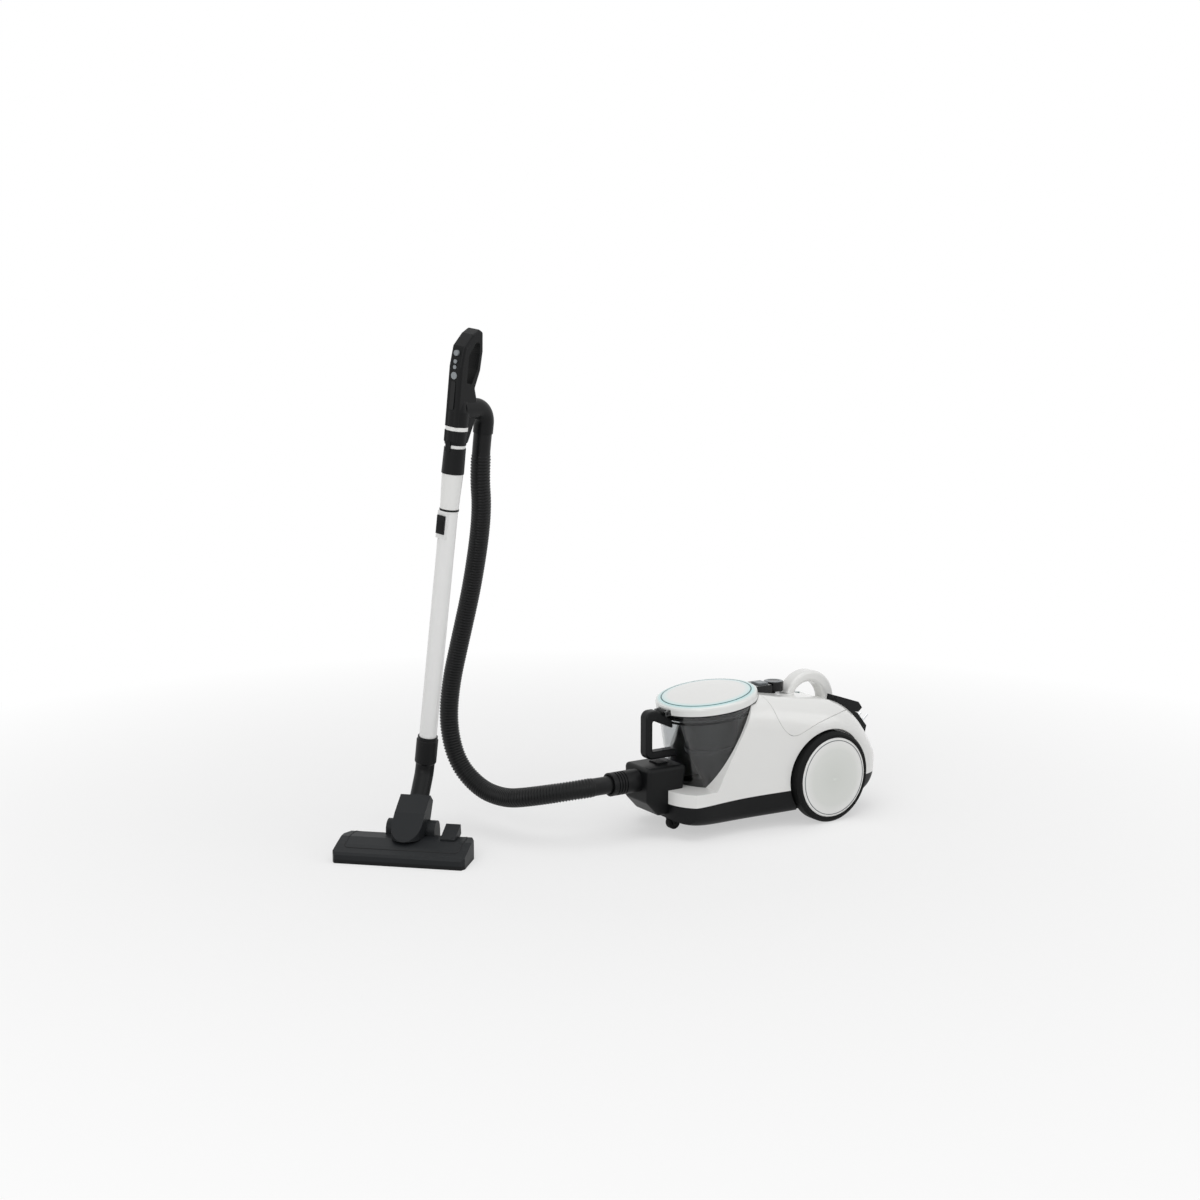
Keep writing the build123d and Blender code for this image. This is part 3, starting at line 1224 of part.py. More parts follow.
brush = block(-BRUSH_HALF_LENGTH, BRUSH_HALF_LENGTH, BRUSH_Y, BRUSH_Y + BRUSH_THICK, 1, SOLE_THICK + 3)
put("brush_strip", NOZZLE * brush)
pedal = extrude_yz(
    [
        (PEDAL_FRONT + 2, NOZZLE_TOP - 3),
        (PEDAL_FRONT + 2, NOZZLE_TOP + 3),
        (PEDAL_REAR - 4, NOZZLE_TOP + PEDAL_RISE),
        (PEDAL_REAR - 2, NOZZLE_TOP + 2),
        (PEDAL_HINGE[0] + 4, NOZZLE_TOP - 9),
        (PEDAL_HINGE[0] - 4, NOZZLE_TOP - 9),
    ],
    PEDAL_X - PEDAL_HALF,
    PEDAL_X + PEDAL_HALF,
)
pedal_pin = cylinder_x(*PEDAL_HINGE, PEDAL_PIN_R, PEDAL_X - pedal_end + 0.5, PEDAL_X + pedal_end - 0.5)
put("nozzle_pedal", NOZZLE * (pedal + pedal_pin))

# Yoke: barrel, tongue over the hood, and the socket in which the elbow neck turns.
elbow = NOZZLE.inverse() * Pos(*ELBOW_POINT)
elbow_local = elbow.position
neck_tilt = math.degrees(math.atan2(elbow_local.Y - PIVOT_Y, elbow_local.Z - PIVOT_Z))
NECK = NOZZLE * Location((0, PIVOT_Y, PIVOT_Z), (-neck_tilt, 0, 0))
SOCKET_TOP = 62
SOCKET_FLOOR = 40
TONGUE_FRONT = 34
TONGUE_HALF = 29
yoke = cylinder_x(PIVOT_Y, PIVOT_Z, PIVOT_R, -PIVOT_HALF, PIVOT_HALF)
tongue = extrude_yz(
    [
        (TONGUE_FRONT, NOZZLE_TOP + 0.5),
        (TONGUE_FRONT + 4, NOZZLE_TOP + 5),
        (PIVOT_Y - 18, PIVOT_Z + 36),
        (PIVOT_Y + 20, PIVOT_Z + 60),
        (PIVOT_Y + 36, PIVOT_Z + 46),
        (PIVOT_Y + 8, PIVOT_Z),
        (PIVOT_Y - PIVOT_R, NOZZLE_TOP + 0.5),
    ],
    -TONGUE_HALF,
    TONGUE_HALF,
)
tongue_tip = Pos(0, TONGUE_FRONT + TONGUE_HALF, 0) * Cylinder(TONGUE_HALF, HUGE)
tongue_rest = block(-TONGUE_HALF, TONGUE_HALF, TONGUE_FRONT + TONGUE_HALF, HUGE, -HUGE, HUGE)
tongue = tongue & (tongue_tip + tongue_rest)
ON_FLOOR = (Align.CENTER, Align.CENTER, Align.MIN)
socket = Cylinder(NECK_R + 3.5, SOCKET_TOP, align=ON_FLOOR)
socket_bore = Pos(0, 0, SOCKET_FLOOR) * Cylinder(NECK_R + RUN, HUGE, align=ON_FLOOR)
air_hole = Cylinder(NECK_BORE_R, HUGE, align=ON_FLOOR)
pins = cylinder_x(PIVOT_Y, PIVOT_Z, PIVOT_PIN_R, -tower_outer + 7, tower_outer - 7)
yoke_all = NOZZLE * (yoke + tongue + pins) + NECK * socket
put("nozzle_yoke", yoke_all - NECK * (socket_bore + air_hole))

# Elbow neck with the collar that takes the wand's lower tube.
neck_start = NECK * Pos(0, 0, SOCKET_FLOOR + FIT)
collar_end = WAND * Pos(0, 0, NECK_COLLAR_LOW + 14)
neck_corners = (neck_start.position, Vector(*ELBOW_POINT), collar_end.position)
neck_path = FilletPolyline(*neck_corners, radius=NECK_BEND_R)
neck_face = Plane(origin=neck_start.position, z_dir=neck_path % 0)
neck_tube = sweep(neck_face * Circle(NECK_R), path=neck_path)
neck_tube -= sweep(neck_face * Circle(NECK_BORE_R), path=neck_path)
neck_collar = turned(
    [
        (NECK_BORE_R, NECK_COLLAR_LOW),
        (NECK_R + 1, NECK_COLLAR_LOW),
        (COLLAR_R, NECK_COLLAR_LOW + 3),
        (COLLAR_R, NECK_COLLAR_TOP - 7),
        (COLLAR_R - 1.7, NECK_COLLAR_TOP - 6),
        (COLLAR_R - 1.7, NECK_COLLAR_TOP),
        (TUBE_R + RUN, NECK_COLLAR_TOP),
        (TUBE_R + RUN, TUBE_SEAT),
        (NECK_BORE_R, TUBE_SEAT),
    ]
)
put("nozzle_neck", neck_tube + WAND * neck_collar)

# Swivel elbow on the handle's outlet: it turns the hose downwards.
elbow_x = OUTLET_END + 6 + ELBOW_BEND_R
elbow_low = OUTLET_S - ELBOW_BEND_R - 17
elbow_corners = ((OUTLET_END + FIT, 0, OUTLET_S), (elbow_x, 0, OUTLET_S), (elbow_x, 0, elbow_low))
elbow_path = FilletPolyline(*elbow_corners, radius=ELBOW_BEND_R)
elbow_face = Plane(origin=elbow_path @ 0, z_dir=elbow_path % 0)
elbow_tube = sweep(elbow_face * Circle(HOSE_R), path=elbow_path)
elbow_tube -= sweep(elbow_face * Circle(HOSE_BORE_R), path=elbow_path)
elbow_spigot = cylinder_x(0, OUTLET_S, HOSE_BORE_R + 1 - RUN, OUTLET_END - 14, OUTLET_END + FIT)
elbow_spigot -= cylinder_x(0, OUTLET_S, HOSE_BORE_R - 1, OUTLET_END - 15, OUTLET_END + 1)
put("hose_elbow", WAND * (elbow_tube + elbow_spigot))

# Ribbed hose: from the elbow down behind the wand, round and into the cuff.
hose_top = (WAND * Pos(elbow_x, 0, elbow_low)).position
hose_below = (WAND * Pos(elbow_x, 0, elbow_low - 1.9 * 2 * HOSE_R)).position
HOSE_ROUTE = [
    hose_top,
    hose_below,
    (-627, 152, 624),
    (-621, 205, 488),
    (-632, 243, 367),
    (-644, 270, 262),
    (-653, 283, 176),
    (-648, 272, 106),
    (-621, 233, 70),
    (-594, 170, 72),
    (-576, 98, 86),
    (-545, 34, 102),
    (cuff_end - 1.7 * 2 * HOSE_R, 0, INLET_AXIS_Z),
    (cuff_end + HOSE_SEAT - FIT, 0, INLET_AXIS_Z),
]
ARC_SHARE = 0.45
corners = [Vector(*point) if isinstance(point, tuple) else point for point in HOSE_ROUTE]
radii = []
for before, corner, after in zip(corners, corners[1:], corners[2:]):
    arriving = corner - before
    leaving = after - corner
    turn = arriving.get_angle(leaving)
    shorter = min(arriving.length, leaving.length)
    radii.append(ARC_SHARE * shorter / math.tan(math.radians(turn / 2)))
hose_path = FilletPolyline(*corners, radius=radii)
STEADY_X = Vector(0.83, 0.56, 0)


def hose_plane(share):
    """Plane square to the hose at a share of its length, with a steady x axis."""
    tangent = hose_path % share
    across = STEADY_X - tangent * STEADY_X.dot(tangent)
    return Plane(origin=hose_path @ share, x_dir=across.normalized(), z_dir=tangent)


def rib_share(index, part):
    """Place along the hose of a point within a rib, between the plain ends."""
    plain = 2 * HOSE_R / hose_path.length
    return plain + (1 - 2 * plain) * (index + part) / RIB_COUNT


valley_r = HOSE_R - RIB_DEPTH
rib_steps = [(0.1, valley_r), (0.3, HOSE_R), (0.6, HOSE_R), (0.8, valley_r)]
rings = [hose_plane(0) * Circle(valley_r)]
for index in range(RIB_COUNT):
    for part, radius in rib_steps:
        rings.append(hose_plane(rib_share(index, part)) * Circle(radius))
rings.append(hose_plane(1) * Circle(valley_r))
hose_outer = loft(rings, ruled=True)
hose_bore = sweep(hose_plane(0) * Circle(HOSE_BORE_R), path=hose_path)
hose = hose_outer - hose_bore
put("hose", hose)
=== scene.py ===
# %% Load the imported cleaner
import json
import bpy
import numpy as np
from mathutils import Matrix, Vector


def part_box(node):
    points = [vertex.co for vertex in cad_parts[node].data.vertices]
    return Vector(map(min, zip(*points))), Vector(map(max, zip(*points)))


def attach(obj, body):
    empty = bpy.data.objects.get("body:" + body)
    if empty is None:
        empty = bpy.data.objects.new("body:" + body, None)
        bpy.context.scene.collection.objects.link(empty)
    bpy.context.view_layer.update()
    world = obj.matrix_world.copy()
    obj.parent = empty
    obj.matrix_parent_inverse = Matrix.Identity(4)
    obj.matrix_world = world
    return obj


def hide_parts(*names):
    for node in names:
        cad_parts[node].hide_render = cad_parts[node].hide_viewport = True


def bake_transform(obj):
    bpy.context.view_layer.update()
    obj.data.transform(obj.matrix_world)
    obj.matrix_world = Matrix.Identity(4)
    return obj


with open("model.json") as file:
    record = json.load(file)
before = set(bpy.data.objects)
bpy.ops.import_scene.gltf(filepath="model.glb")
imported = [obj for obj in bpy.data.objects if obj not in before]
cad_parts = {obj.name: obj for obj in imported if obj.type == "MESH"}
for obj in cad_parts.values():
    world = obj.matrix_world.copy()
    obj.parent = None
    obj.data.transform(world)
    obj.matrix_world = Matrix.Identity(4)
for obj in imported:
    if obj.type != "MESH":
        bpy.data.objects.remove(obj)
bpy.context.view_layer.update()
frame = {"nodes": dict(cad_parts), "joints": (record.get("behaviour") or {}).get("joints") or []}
nodes = frame["nodes"]
joints = {joint["name"]: joint for joint in frame["joints"]}

# %% [markdown]
# The cleaner has three places that other pieces are set out from: the leaning wand, the tilted
# bin and the turned floor nozzle. Their axes could be typed in again, but the joints already
# hold them, so they are read from there and can't drift away from the solids.

# %% Axes and points of the wand, the bin and the nozzle
MM = 0.001


def vector(numbers):
    """Three numbers as a numpy vector."""
    return np.array(numbers, dtype=float)


def unit(v):
    """A vector divided by its own length."""
    return v / np.linalg.norm(v)


OUTLET_REACH = 38 * MM
OUTLET_HEIGHT = 699 * MM
wand_up = unit(-vector(joints["telescope"]["axis"]))
wand_out = unit(vector(joints["handle_swivel"]["axis"]))
wand_across = np.cross(wand_up, wand_out)
outlet_point = vector(joints["handle_swivel"]["pos_m"])
wand_foot = outlet_point - OUTLET_REACH * wand_out - OUTLET_HEIGHT * wand_up
lid_axis = unit(vector(joints["bin_lift"]["axis"]))
nozzle_along = unit(vector(joints["nozzle_tilt"]["axis"]))
nozzle_back = np.cross(vector((0, 0, 1)), nozzle_along)
nozzle_pivot = vector(joints["nozzle_tilt"]["pos_m"])


def wand_point(out, height):
    """Point at a distance out from the wand's axis and a height up it."""
    return wand_foot + out * wand_out + height * wand_up


print("wand foot", wand_foot.round(4), "wand axis", wand_up.round(3))

# %% [markdown]
# The camera stands where the photographer stood: a little to the left of the canister's nose and
# above it, far enough off that the cleaner fills less than half of a square picture. Three
# unit vectors give its right, its up and its back, which is easier to check than three angles.

# %% Camera
CAMERA_POINT = vector((-1.56295, -2.36845, 0.86958))
CAMERA_RIGHT = vector((0.84208, -0.53936, 0.0))
CAMERA_UP = vector((0.07804, 0.12184, 0.98948))
CAMERA_LENS = 45
camera_back = np.cross(CAMERA_RIGHT, CAMERA_UP)
camera_data = bpy.data.cameras.new("photo_camera")
camera_data.lens = CAMERA_LENS
camera_data.sensor_width = 36
camera_data.clip_end = 50
camera = bpy.data.objects.new("photo_camera", camera_data)
bpy.context.scene.collection.objects.link(camera)
turn = np.eye(4)
turn[:3, 0] = CAMERA_RIGHT
turn[:3, 1] = CAMERA_UP
turn[:3, 2] = camera_back
turn[:3, 3] = CAMERA_POINT
camera.matrix_world = Matrix(turn.tolist())
bpy.context.scene.camera = camera
print("camera at", CAMERA_POINT, "looking along", (-camera_back).round(3))

# %% [markdown]
# Every new piece is a surface over a grid of two parameters. One function turns such a grid of
# points into a mesh. A ring or a tube joins up with itself both ways, so the mesh is closed, and
# its signed volume tells whether its faces point outwards.

# %% Grids of points become meshes


def closed_surface(name, points):
    """Mesh of a grid of points that joins up with itself in both directions.

    A face takes point (i, j) and its neighbours (i+1, j), (i+1, j+1) and (i, j+1), counted round.
    The signed volume is the sum over the faces of a corner dotted with the face's area vector.
    """
    rows, columns = points.shape[:2]
    i, j = np.meshgrid(np.arange(rows), np.arange(columns), indexing="ij")
    below = (i + 1) % rows
    beside = (j + 1) % columns
    corners = [i * columns + j, below * columns + j, below * columns + beside, i * columns + beside]
    faces = np.stack(corners, axis=-1).reshape(-1, 4)
    flat = points.reshape(-1, 3)
    first, second, third, fourth = (flat[faces[:, k]] for k in range(4))
    area = np.cross(third - first, fourth - second)
    if np.sum((first - flat.mean(axis=0)) * area) < 0:
        faces = faces[:, ::-1]
    mesh = bpy.data.meshes.new(name)
    mesh.from_pydata(flat.tolist(), [], faces.tolist())
    mesh.polygons.foreach_set("use_smooth", np.ones(len(faces), dtype=bool))
    mesh.update()
    piece = bpy.data.objects.new(name, mesh)
    bpy.context.scene.collection.objects.link(piece)
    return piece


def turned_piece(name, outline, centre, axis, count=96):
    """Closed outline of (radius, height) turned about an axis.

    A point is centre + height * axis + radius * (cos(angle) * start + sin(angle) * side).
    """
    axis = unit(axis)
    start = unit(np.cross(axis, vector((0.31, 0.87, 0.39))))
    side = np.cross(axis, start)
    angle = np.linspace(0, 2 * np.pi, count, endpoint=False)
    spoke = np.cos(angle)[:, None] * start + np.sin(angle)[:, None] * side
    radius, height = np.array(outline, dtype=float).T
    points = centre + height[:, None, None] * axis + radius[:, None, None] * spoke[None]
    return closed_surface(name, points)


def round_bar(name, path, radius, count=8):
    """Round section carried along a closed path, turned square to the path's own direction."""
    along = np.roll(path, -1, axis=0) - np.roll(path, 1, axis=0)
    along /= np.linalg.norm(along, axis=1, keepdims=True)
    across = np.cross(along, vector((0, 0, 1)))
    across /= np.linalg.norm(across, axis=1, keepdims=True)
    upward = np.cross(across, along)
    angle = np.linspace(0, 2 * np.pi, count, endpoint=False)
    ring = np.cos(angle)[None, :, None] * across[:, None]
    ring = ring + np.sin(angle)[None, :, None] * upward[:, None]
    return closed_surface(name, path[:, None] + radius * ring)


def rounded_rectangle(half_x, low_y, high_y, corner, count=200):
    """Even points round a rectangle whose corners are arcs of one radius."""
    quarter = np.linspace(0, np.pi / 2, 12)
    centres = [
        (half_x - corner, high_y - corner, 0.0),
        (corner - half_x, high_y - corner, np.pi / 2),
        (corner - half_x, low_y + corner, np.pi),
        (half_x - corner, low_y + corner, 1.5 * np.pi),
    ]
    arcs = [
        np.column_stack([x + corner * np.cos(a + quarter), y + corner * np.sin(a + quarter)])
        for x, y, a in centres
    ]
    loop = np.concatenate(arcs + [arcs[0][:1]])
    step = np.linalg.norm(np.diff(loop, axis=0), axis=1)
    travelled = np.concatenate([[0], np.cumsum(step)])
    wanted = np.linspace(0, travelled[-1], count, endpoint=False)
    return np.interp(wanted, travelled, loop[:, 0]), np.interp(wanted, travelled, loop[:, 1])


# %% [markdown]
# The suction hose is a ribbed plastic tube. It leaves the elbow behind the handle, hangs down
# behind the wand, swings round close to the floor and goes into the cuff on the canister's nose.
# A NURBS spline drawn towards a few listed points gives its smooth line, and a radius that
# rises and falls along that line gives the ribs. The bore is a second pass back along that line.

# %% Ribbed hose
HOSE_R = 18.5 * MM
HOSE_BORE_R = 15.5 * MM
RIB_DEPTH = 1.6 * MM
RIB_COUNT = 180
RIB_STEPS = 6
CUFF_END = vector((-0.0553, -0.0462, 0.110))
ELBOW_REACH = 74 * MM
ELBOW_LOW = 652 * MM
HOSE_STRAIGHT = 70.3 * MM
HOSE_SEAT = 7.7 * MM
HOSE_ROUTE_MM = [
    (-627, 152, 624),
    (-621, 205, 488),
    (-632, 240, 372),
    (-643, 262, 282),
    (-648, 266, 200),
    (-638, 248, 126),
    (-612, 204, 80),
    (-592, 144, 72),
    (-582, 76, 88),
]
CANISTER_ORIGIN = vector((388, -46.2, 0))
route = [wand_point(ELBOW_REACH, ELBOW_LOW), wand_point(ELBOW_REACH, ELBOW_LOW - HOSE_STRAIGHT)]
route += [(vector(point) + CANISTER_ORIGIN) * MM for point in HOSE_ROUTE_MM]
route += [CUFF_END - vector((62.9 * MM, 0, 0)), CUFF_END + vector((HOSE_SEAT, 0, 0))]


def smooth_line(points):
    """Points along a NURBS spline of order 3 that has the route as its control points."""
    curve = bpy.data.curves.new("hose_line", "CURVE")
    curve.dimensions = "3D"
    spline = curve.splines.new("NURBS")
    spline.points.add(len(points) - 1)
    spline.points.foreach_set("co", np.column_stack([points, np.ones(len(points))]).ravel())
    spline.order_u = 3
    spline.use_endpoint_u = True
    spline.resolution_u = 40
    holder = bpy.data.objects.new("hose_line", curve)
    mesh = bpy.data.meshes.new_from_object(holder)
    line = np.empty(3 * len(mesh.vertices))
    mesh.vertices.foreach_get("co", line)
    bpy.data.objects.remove(holder)
    bpy.data.meshes.remove(mesh)
    return line.reshape(-1, 3)


def evenly(line, count):
    """The same line as a given number of points, evenly spaced along its length."""
    step = np.linalg.norm(np.diff(line, axis=0), axis=1)
    travelled = np.concatenate([[0], np.cumsum(step)])
    wanted = np.linspace(0, travelled[-1], count)
    return np.column_stack([np.interp(wanted, travelled, line[:, k]) for k in range(3)]), travelled[-1]


hose_line, hose_length = evenly(smooth_line(np.array(route)), RIB_COUNT * RIB_STEPS + 1)
share = np.linspace(0, 1, len(hose_line))
tangent = np.gradient(hose_line, axis=0)
tangent /= np.linalg.norm(tangent, axis=1, keepdims=True)
steady = vector((0.83, 0.56, 0))
across = steady - tangent * (tangent @ steady)[:, None]
across /= np.linalg.norm(across, axis=1, keepdims=True)
upward = np.cross(tangent, across)
plain_share = 1.0 * 2 * HOSE_R / hose_length
ribbed = np.clip((np.minimum(share, 1 - share) - plain_share) / 0.01, 0, 1)
wave = 0.5 - 0.5 * np.tanh(3 * np.cos(2 * np.pi * share * RIB_COUNT)) / np.tanh(3)
outer_r = HOSE_R - RIB_DEPTH * (1 - wave * ribbed)
HOSE_SIDES = 28
hose_angle = np.linspace(0, 2 * np.pi, HOSE_SIDES, endpoint=False)
spokes = np.cos(hose_angle)[None, :, None] * across[:, None]
spokes = spokes + np.sin(hose_angle)[None, :, None] * upward[:, None]
outside = hose_line[:, None] + outer_r[:, None, None] * spokes
inside = (hose_line[:, None] + HOSE_BORE_R * spokes)[::-RIB_STEPS]
hose = closed_surface("ribbed_hose", np.concatenate([outside, inside]))
print("hose length", round(hose_length, 4), "m, points", len(hose.data.vertices))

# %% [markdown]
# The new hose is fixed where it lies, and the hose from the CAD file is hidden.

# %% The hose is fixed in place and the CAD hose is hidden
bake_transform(hose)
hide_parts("hose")

# %% [markdown]
# Materials come next. Colours are written as the sRGB values a colour picker shows, and Blender
# works in linear light, so one function converts them. One more function adds a node, sets its
# values and links its inputs; every material below is built with it.

# %% Colour and node helpers


def linear(hex_colour):
    """sRGB hex text as linear red, green, blue and alpha."""
    channels = np.array([int(hex_colour[k : k + 2], 16) for k in (1, 3, 5)]) / 255
    low = channels / 12.92
    high = ((channels + 0.055) / 1.055) ** 2.4
    return (*np.where(channels <= 0.04045, low, high), 1.0)


def add_node(tree, kind, inputs=None, **settings):
    """A node of that kind, with its settings, and with each input set or linked."""
    node = tree.nodes.new(kind)
    for name, value in settings.items():
        setattr(node, name, value)
    for key, value in (inputs or {}).items():
        if isinstance(value, bpy.types.NodeSocket):
            tree.links.new(value, node.inputs[key])
        else:
            node.inputs[key].default_value = value
    return node


def new_material(name):
    """An empty node material and its tree."""
    material = bpy.data.materials.new(name)
    material.use_nodes = True
    material.node_tree.nodes.clear()
    return material, material.node_tree


def finish_material(material, inputs):
    """Principled shader with these inputs, joined to the material's output."""
    tree = material.node_tree
    shader = add_node(tree, "ShaderNodeBsdfPrincipled", inputs)
    add_node(tree, "ShaderNodeOutputMaterial", {"Surface": shader.outputs["BSDF"]})
    return material


def moulded_plastic(name, colour, roughness, grain_mm=0.0, grain_depth=0.0, coat=0.0, gloss=0.5):
    """Injection-moulded plastic: one colour, a dielectric gloss, and a fine spark-eroded grain."""
    material, tree = new_material(name)
    inputs = {
        "Base Color": linear(colour),
        "Roughness": roughness,
        "IOR": 1.46,
        "Specular IOR Level": gloss,
        "Coat Weight": coat,
    }
    if grain_mm:
        place = add_node(tree, "ShaderNodeTexCoord")
        grain = add_node(
            tree,
            "ShaderNodeTexNoise",
            {"Vector": place.outputs["Object"], "Scale": 1 / (grain_mm * MM), "Detail": 1.0},
        )
        bump = add_node(
            tree,
            "ShaderNodeBump",
            {"Height": grain.outputs["Fac"], "Strength": 0.35, "Distance": grain_depth * MM},
        )
        inputs["Normal"] = bump.outputs["Normal"]
    return finish_material(material, inputs)


# %% [markdown]
# Most of the outside is moulded ABS. The white covers are polished, so they mirror the lamps
# softly. The black base, handle and nozzle have a fine satin grain. The grain on the real tools is
# finer than a pixel here, so it is drawn coarser, about a millimetre and a half. The blacks are
# deep in the photograph, so their gloss is held down.

# %% Moulded plastics and rubber
white_abs = moulded_plastic("polished_white_abs", "#F1F1EF", 0.20, coat=0.25)
white_tube_paint = moulded_plastic("white_tube_paint", "#F2F2F1", 0.25, coat=0.2)
DEEP = {"grain_mm": 1.5, "grain_depth": 0.04, "gloss": 0.2}
black_abs = moulded_plastic("satin_black_abs", "#0E0F10", 0.42, **DEEP)
panel_black = moulded_plastic("polished_black_abs", "#08090A", 0.18, gloss=0.35)
nozzle_charcoal = moulded_plastic("satin_charcoal_abs", "#202224", 0.48, **DEEP)
sole_black = moulded_plastic("sole_black_abs", "#101112", 0.5, gloss=0.2)
hose_black = moulded_plastic("hose_black_polythene", "#0C0D0E", 0.40, gloss=0.25)
tyre_black = moulded_plastic(
    "soft_tyre_rubber", "#0A0B0B", 0.66, grain_mm=2.0, grain_depth=0.05, gloss=0.2
)
seal_black = moulded_plastic("seal_rubber", "#0B0B0C", 0.7)
key_grey = moulded_plastic("grey_key_abs", "#8F9497", 0.42)
# Painted shade: this grey stands for the shade in the groove on each wheel.
groove_shade_grey = moulded_plastic("painted_groove_shade_grey", "#6F7477", 0.45)
teal_ring = moulded_plastic("teal_ring_acrylic", "#0C5157", 0.18)
teal_key = moulded_plastic("teal_key_abs", "#11686B", 0.3)
cyclone_grey = moulded_plastic("cyclone_grey_abs", "#2B2D30", 0.45)
filter_felt = moulded_plastic("filter_felt", "#C9C6BC", 0.95, grain_mm=2.5, grain_depth=0.3)
board_green = moulded_plastic("circuit_board_green", "#1E5A37", 0.4)
bristle_black = moulded_plastic("bristle_nylon", "#17181A", 0.7)


def metal(name, colour, roughness):
    """Bare metal: a coloured mirror with some blur from its finish."""
    material, tree = new_material(name)
    return finish_material(
        material, {"Base Color": linear(colour), "Metallic": 1.0, "Roughness": roughness}
    )


steel = metal("turned_steel", "#B9BBBE", 0.3)
bright_steel = metal("plated_steel", "#D5D7D9", 0.14)
fan_aluminium = metal("cast_aluminium", "#C4C6C8", 0.38)
print("materials so far:", len(bpy.data.materials))

# %% [markdown]
# The bin is smoke-tinted clear plastic, 2.6 mm thick. Its CAD solid has a real inside and outside,
# so a transmitting shader refracts it correctly, and light is tinted on each crossing. A wall is
# crossed twice, in and out, so it passes a little under half of the light.

# %% Smoked bin
smoked_clear, _ = new_material("smoked_clear_acrylic")
finish_material(
    smoked_clear,
    {
        "Base Color": linear("#D6D8D9"),
        "Roughness": 0.04,
        "IOR": 1.49,
        "Transmission Weight": 1.0,
    },
)

# %% [markdown]
# The lid is white, and the pale cyan glow that the teal ring throws on the white beside it is painted
# light in the lid's colour. The painted glow is a function of the distance from the lid's axis: the
# length of the cross product of a point's offset with the axis. Beyond the rim only the two hinge lugs
# are left, and those are black.

# %% Lid with its painted ring glow, and the wheel discs with their painted shade
LID_CENTRE = (vector((-216.2, 0, 263)) + CANISTER_ORIGIN) * MM


def radius_about(tree, centre, axis):
    """Socket with a point's distance from an axis: |(point - centre) x axis|."""
    place = add_node(tree, "ShaderNodeTexCoord")
    offset = add_node(
        tree,
        "ShaderNodeVectorMath",
        {0: place.outputs["Object"], 1: tuple(centre)},
        operation="SUBTRACT",
    )
    arm = add_node(
        tree,
        "ShaderNodeVectorMath",
        {0: offset.outputs["Vector"], 1: tuple(unit(axis))},
        operation="CROSS_PRODUCT",
    )
    length = add_node(tree, "ShaderNodeVectorMath", {0: arm.outputs["Vector"]}, operation="LENGTH")
    return length.outputs["Value"]


def banded_plastic(name, centre, axis, reach, bands, roughness):
    """Plastic whose colour changes with the distance from an axis, in bands of (share, colour)."""
    material, tree = new_material(name)
    share_of_reach = add_node(
        tree,
        "ShaderNodeMath",
        {0: radius_about(tree, centre, axis), 1: reach},
        operation="DIVIDE",
    )
    ramp = add_node(tree, "ShaderNodeValToRGB", {"Fac": share_of_reach.outputs["Value"]})
    steps = ramp.color_ramp.elements
    while len(steps) < len(bands):
        steps.new(1.0)
    for step, (at, colour) in zip(steps, bands):
        step.position = at
        step.color = linear(colour)
    return finish_material(
        material,
        {"Base Color": ramp.outputs["Color"], "Roughness": roughness, "IOR": 1.5, "Coat Weight": 0.25},
    )


LID_REACH_MM = 112
# Painted light: the pale cyan bands from 84.5 to 99 mm are the teal ring's glow painted on the white.
LID_PAINTED_GLOW_BANDS_MM = [
    (0.0, "#F0F0EE"),
    (74.0, "#F0F0EE"),
    (84.5, "#D9F1F1"),
    (88.6, "#B4E6E8"),
    (93.0, "#CDEEEE"),
    (99.0, "#F0F1EF"),
    (101.2, "#F0F1EF"),
    (101.5, "#0E0F10"),
]
LID_PAINTED_GLOW_SHARES = [(radius / LID_REACH_MM, colour) for radius, colour in LID_PAINTED_GLOW_BANDS_MM]
lid_white_painted_glow = banded_plastic(
    "white_abs_painted_ring_glow", LID_CENTRE, lid_axis, LID_REACH_MM * MM, LID_PAINTED_GLOW_SHARES, 0.18
)
# Painted shade: each wheel disc is pale grey-green in its domed centre and white at the edge.
WHEEL_PAINTED_SHADE_BANDS = [(0.0, "#DDE0DB"), (0.70, "#E6E8E4"), (0.88, "#F2F2F0"), (1.0, "#F4F4F2")]
wheel_centre = {}
for word in ("left", "right"):
    low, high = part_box(f"wheel_{word}")
    wheel_centre[word] = (vector(low) + vector(high)) / 2
wheel_white_painted_shade = banded_plastic(
    "white_wheel_abs_painted_shade", wheel_centre["left"], vector((0, 1, 0)), 80 * MM, WHEEL_PAINTED_SHADE_BANDS, 0.28
)

# %% [markdown]
# Each CAD node keeps its own solid and takes a finish by name.

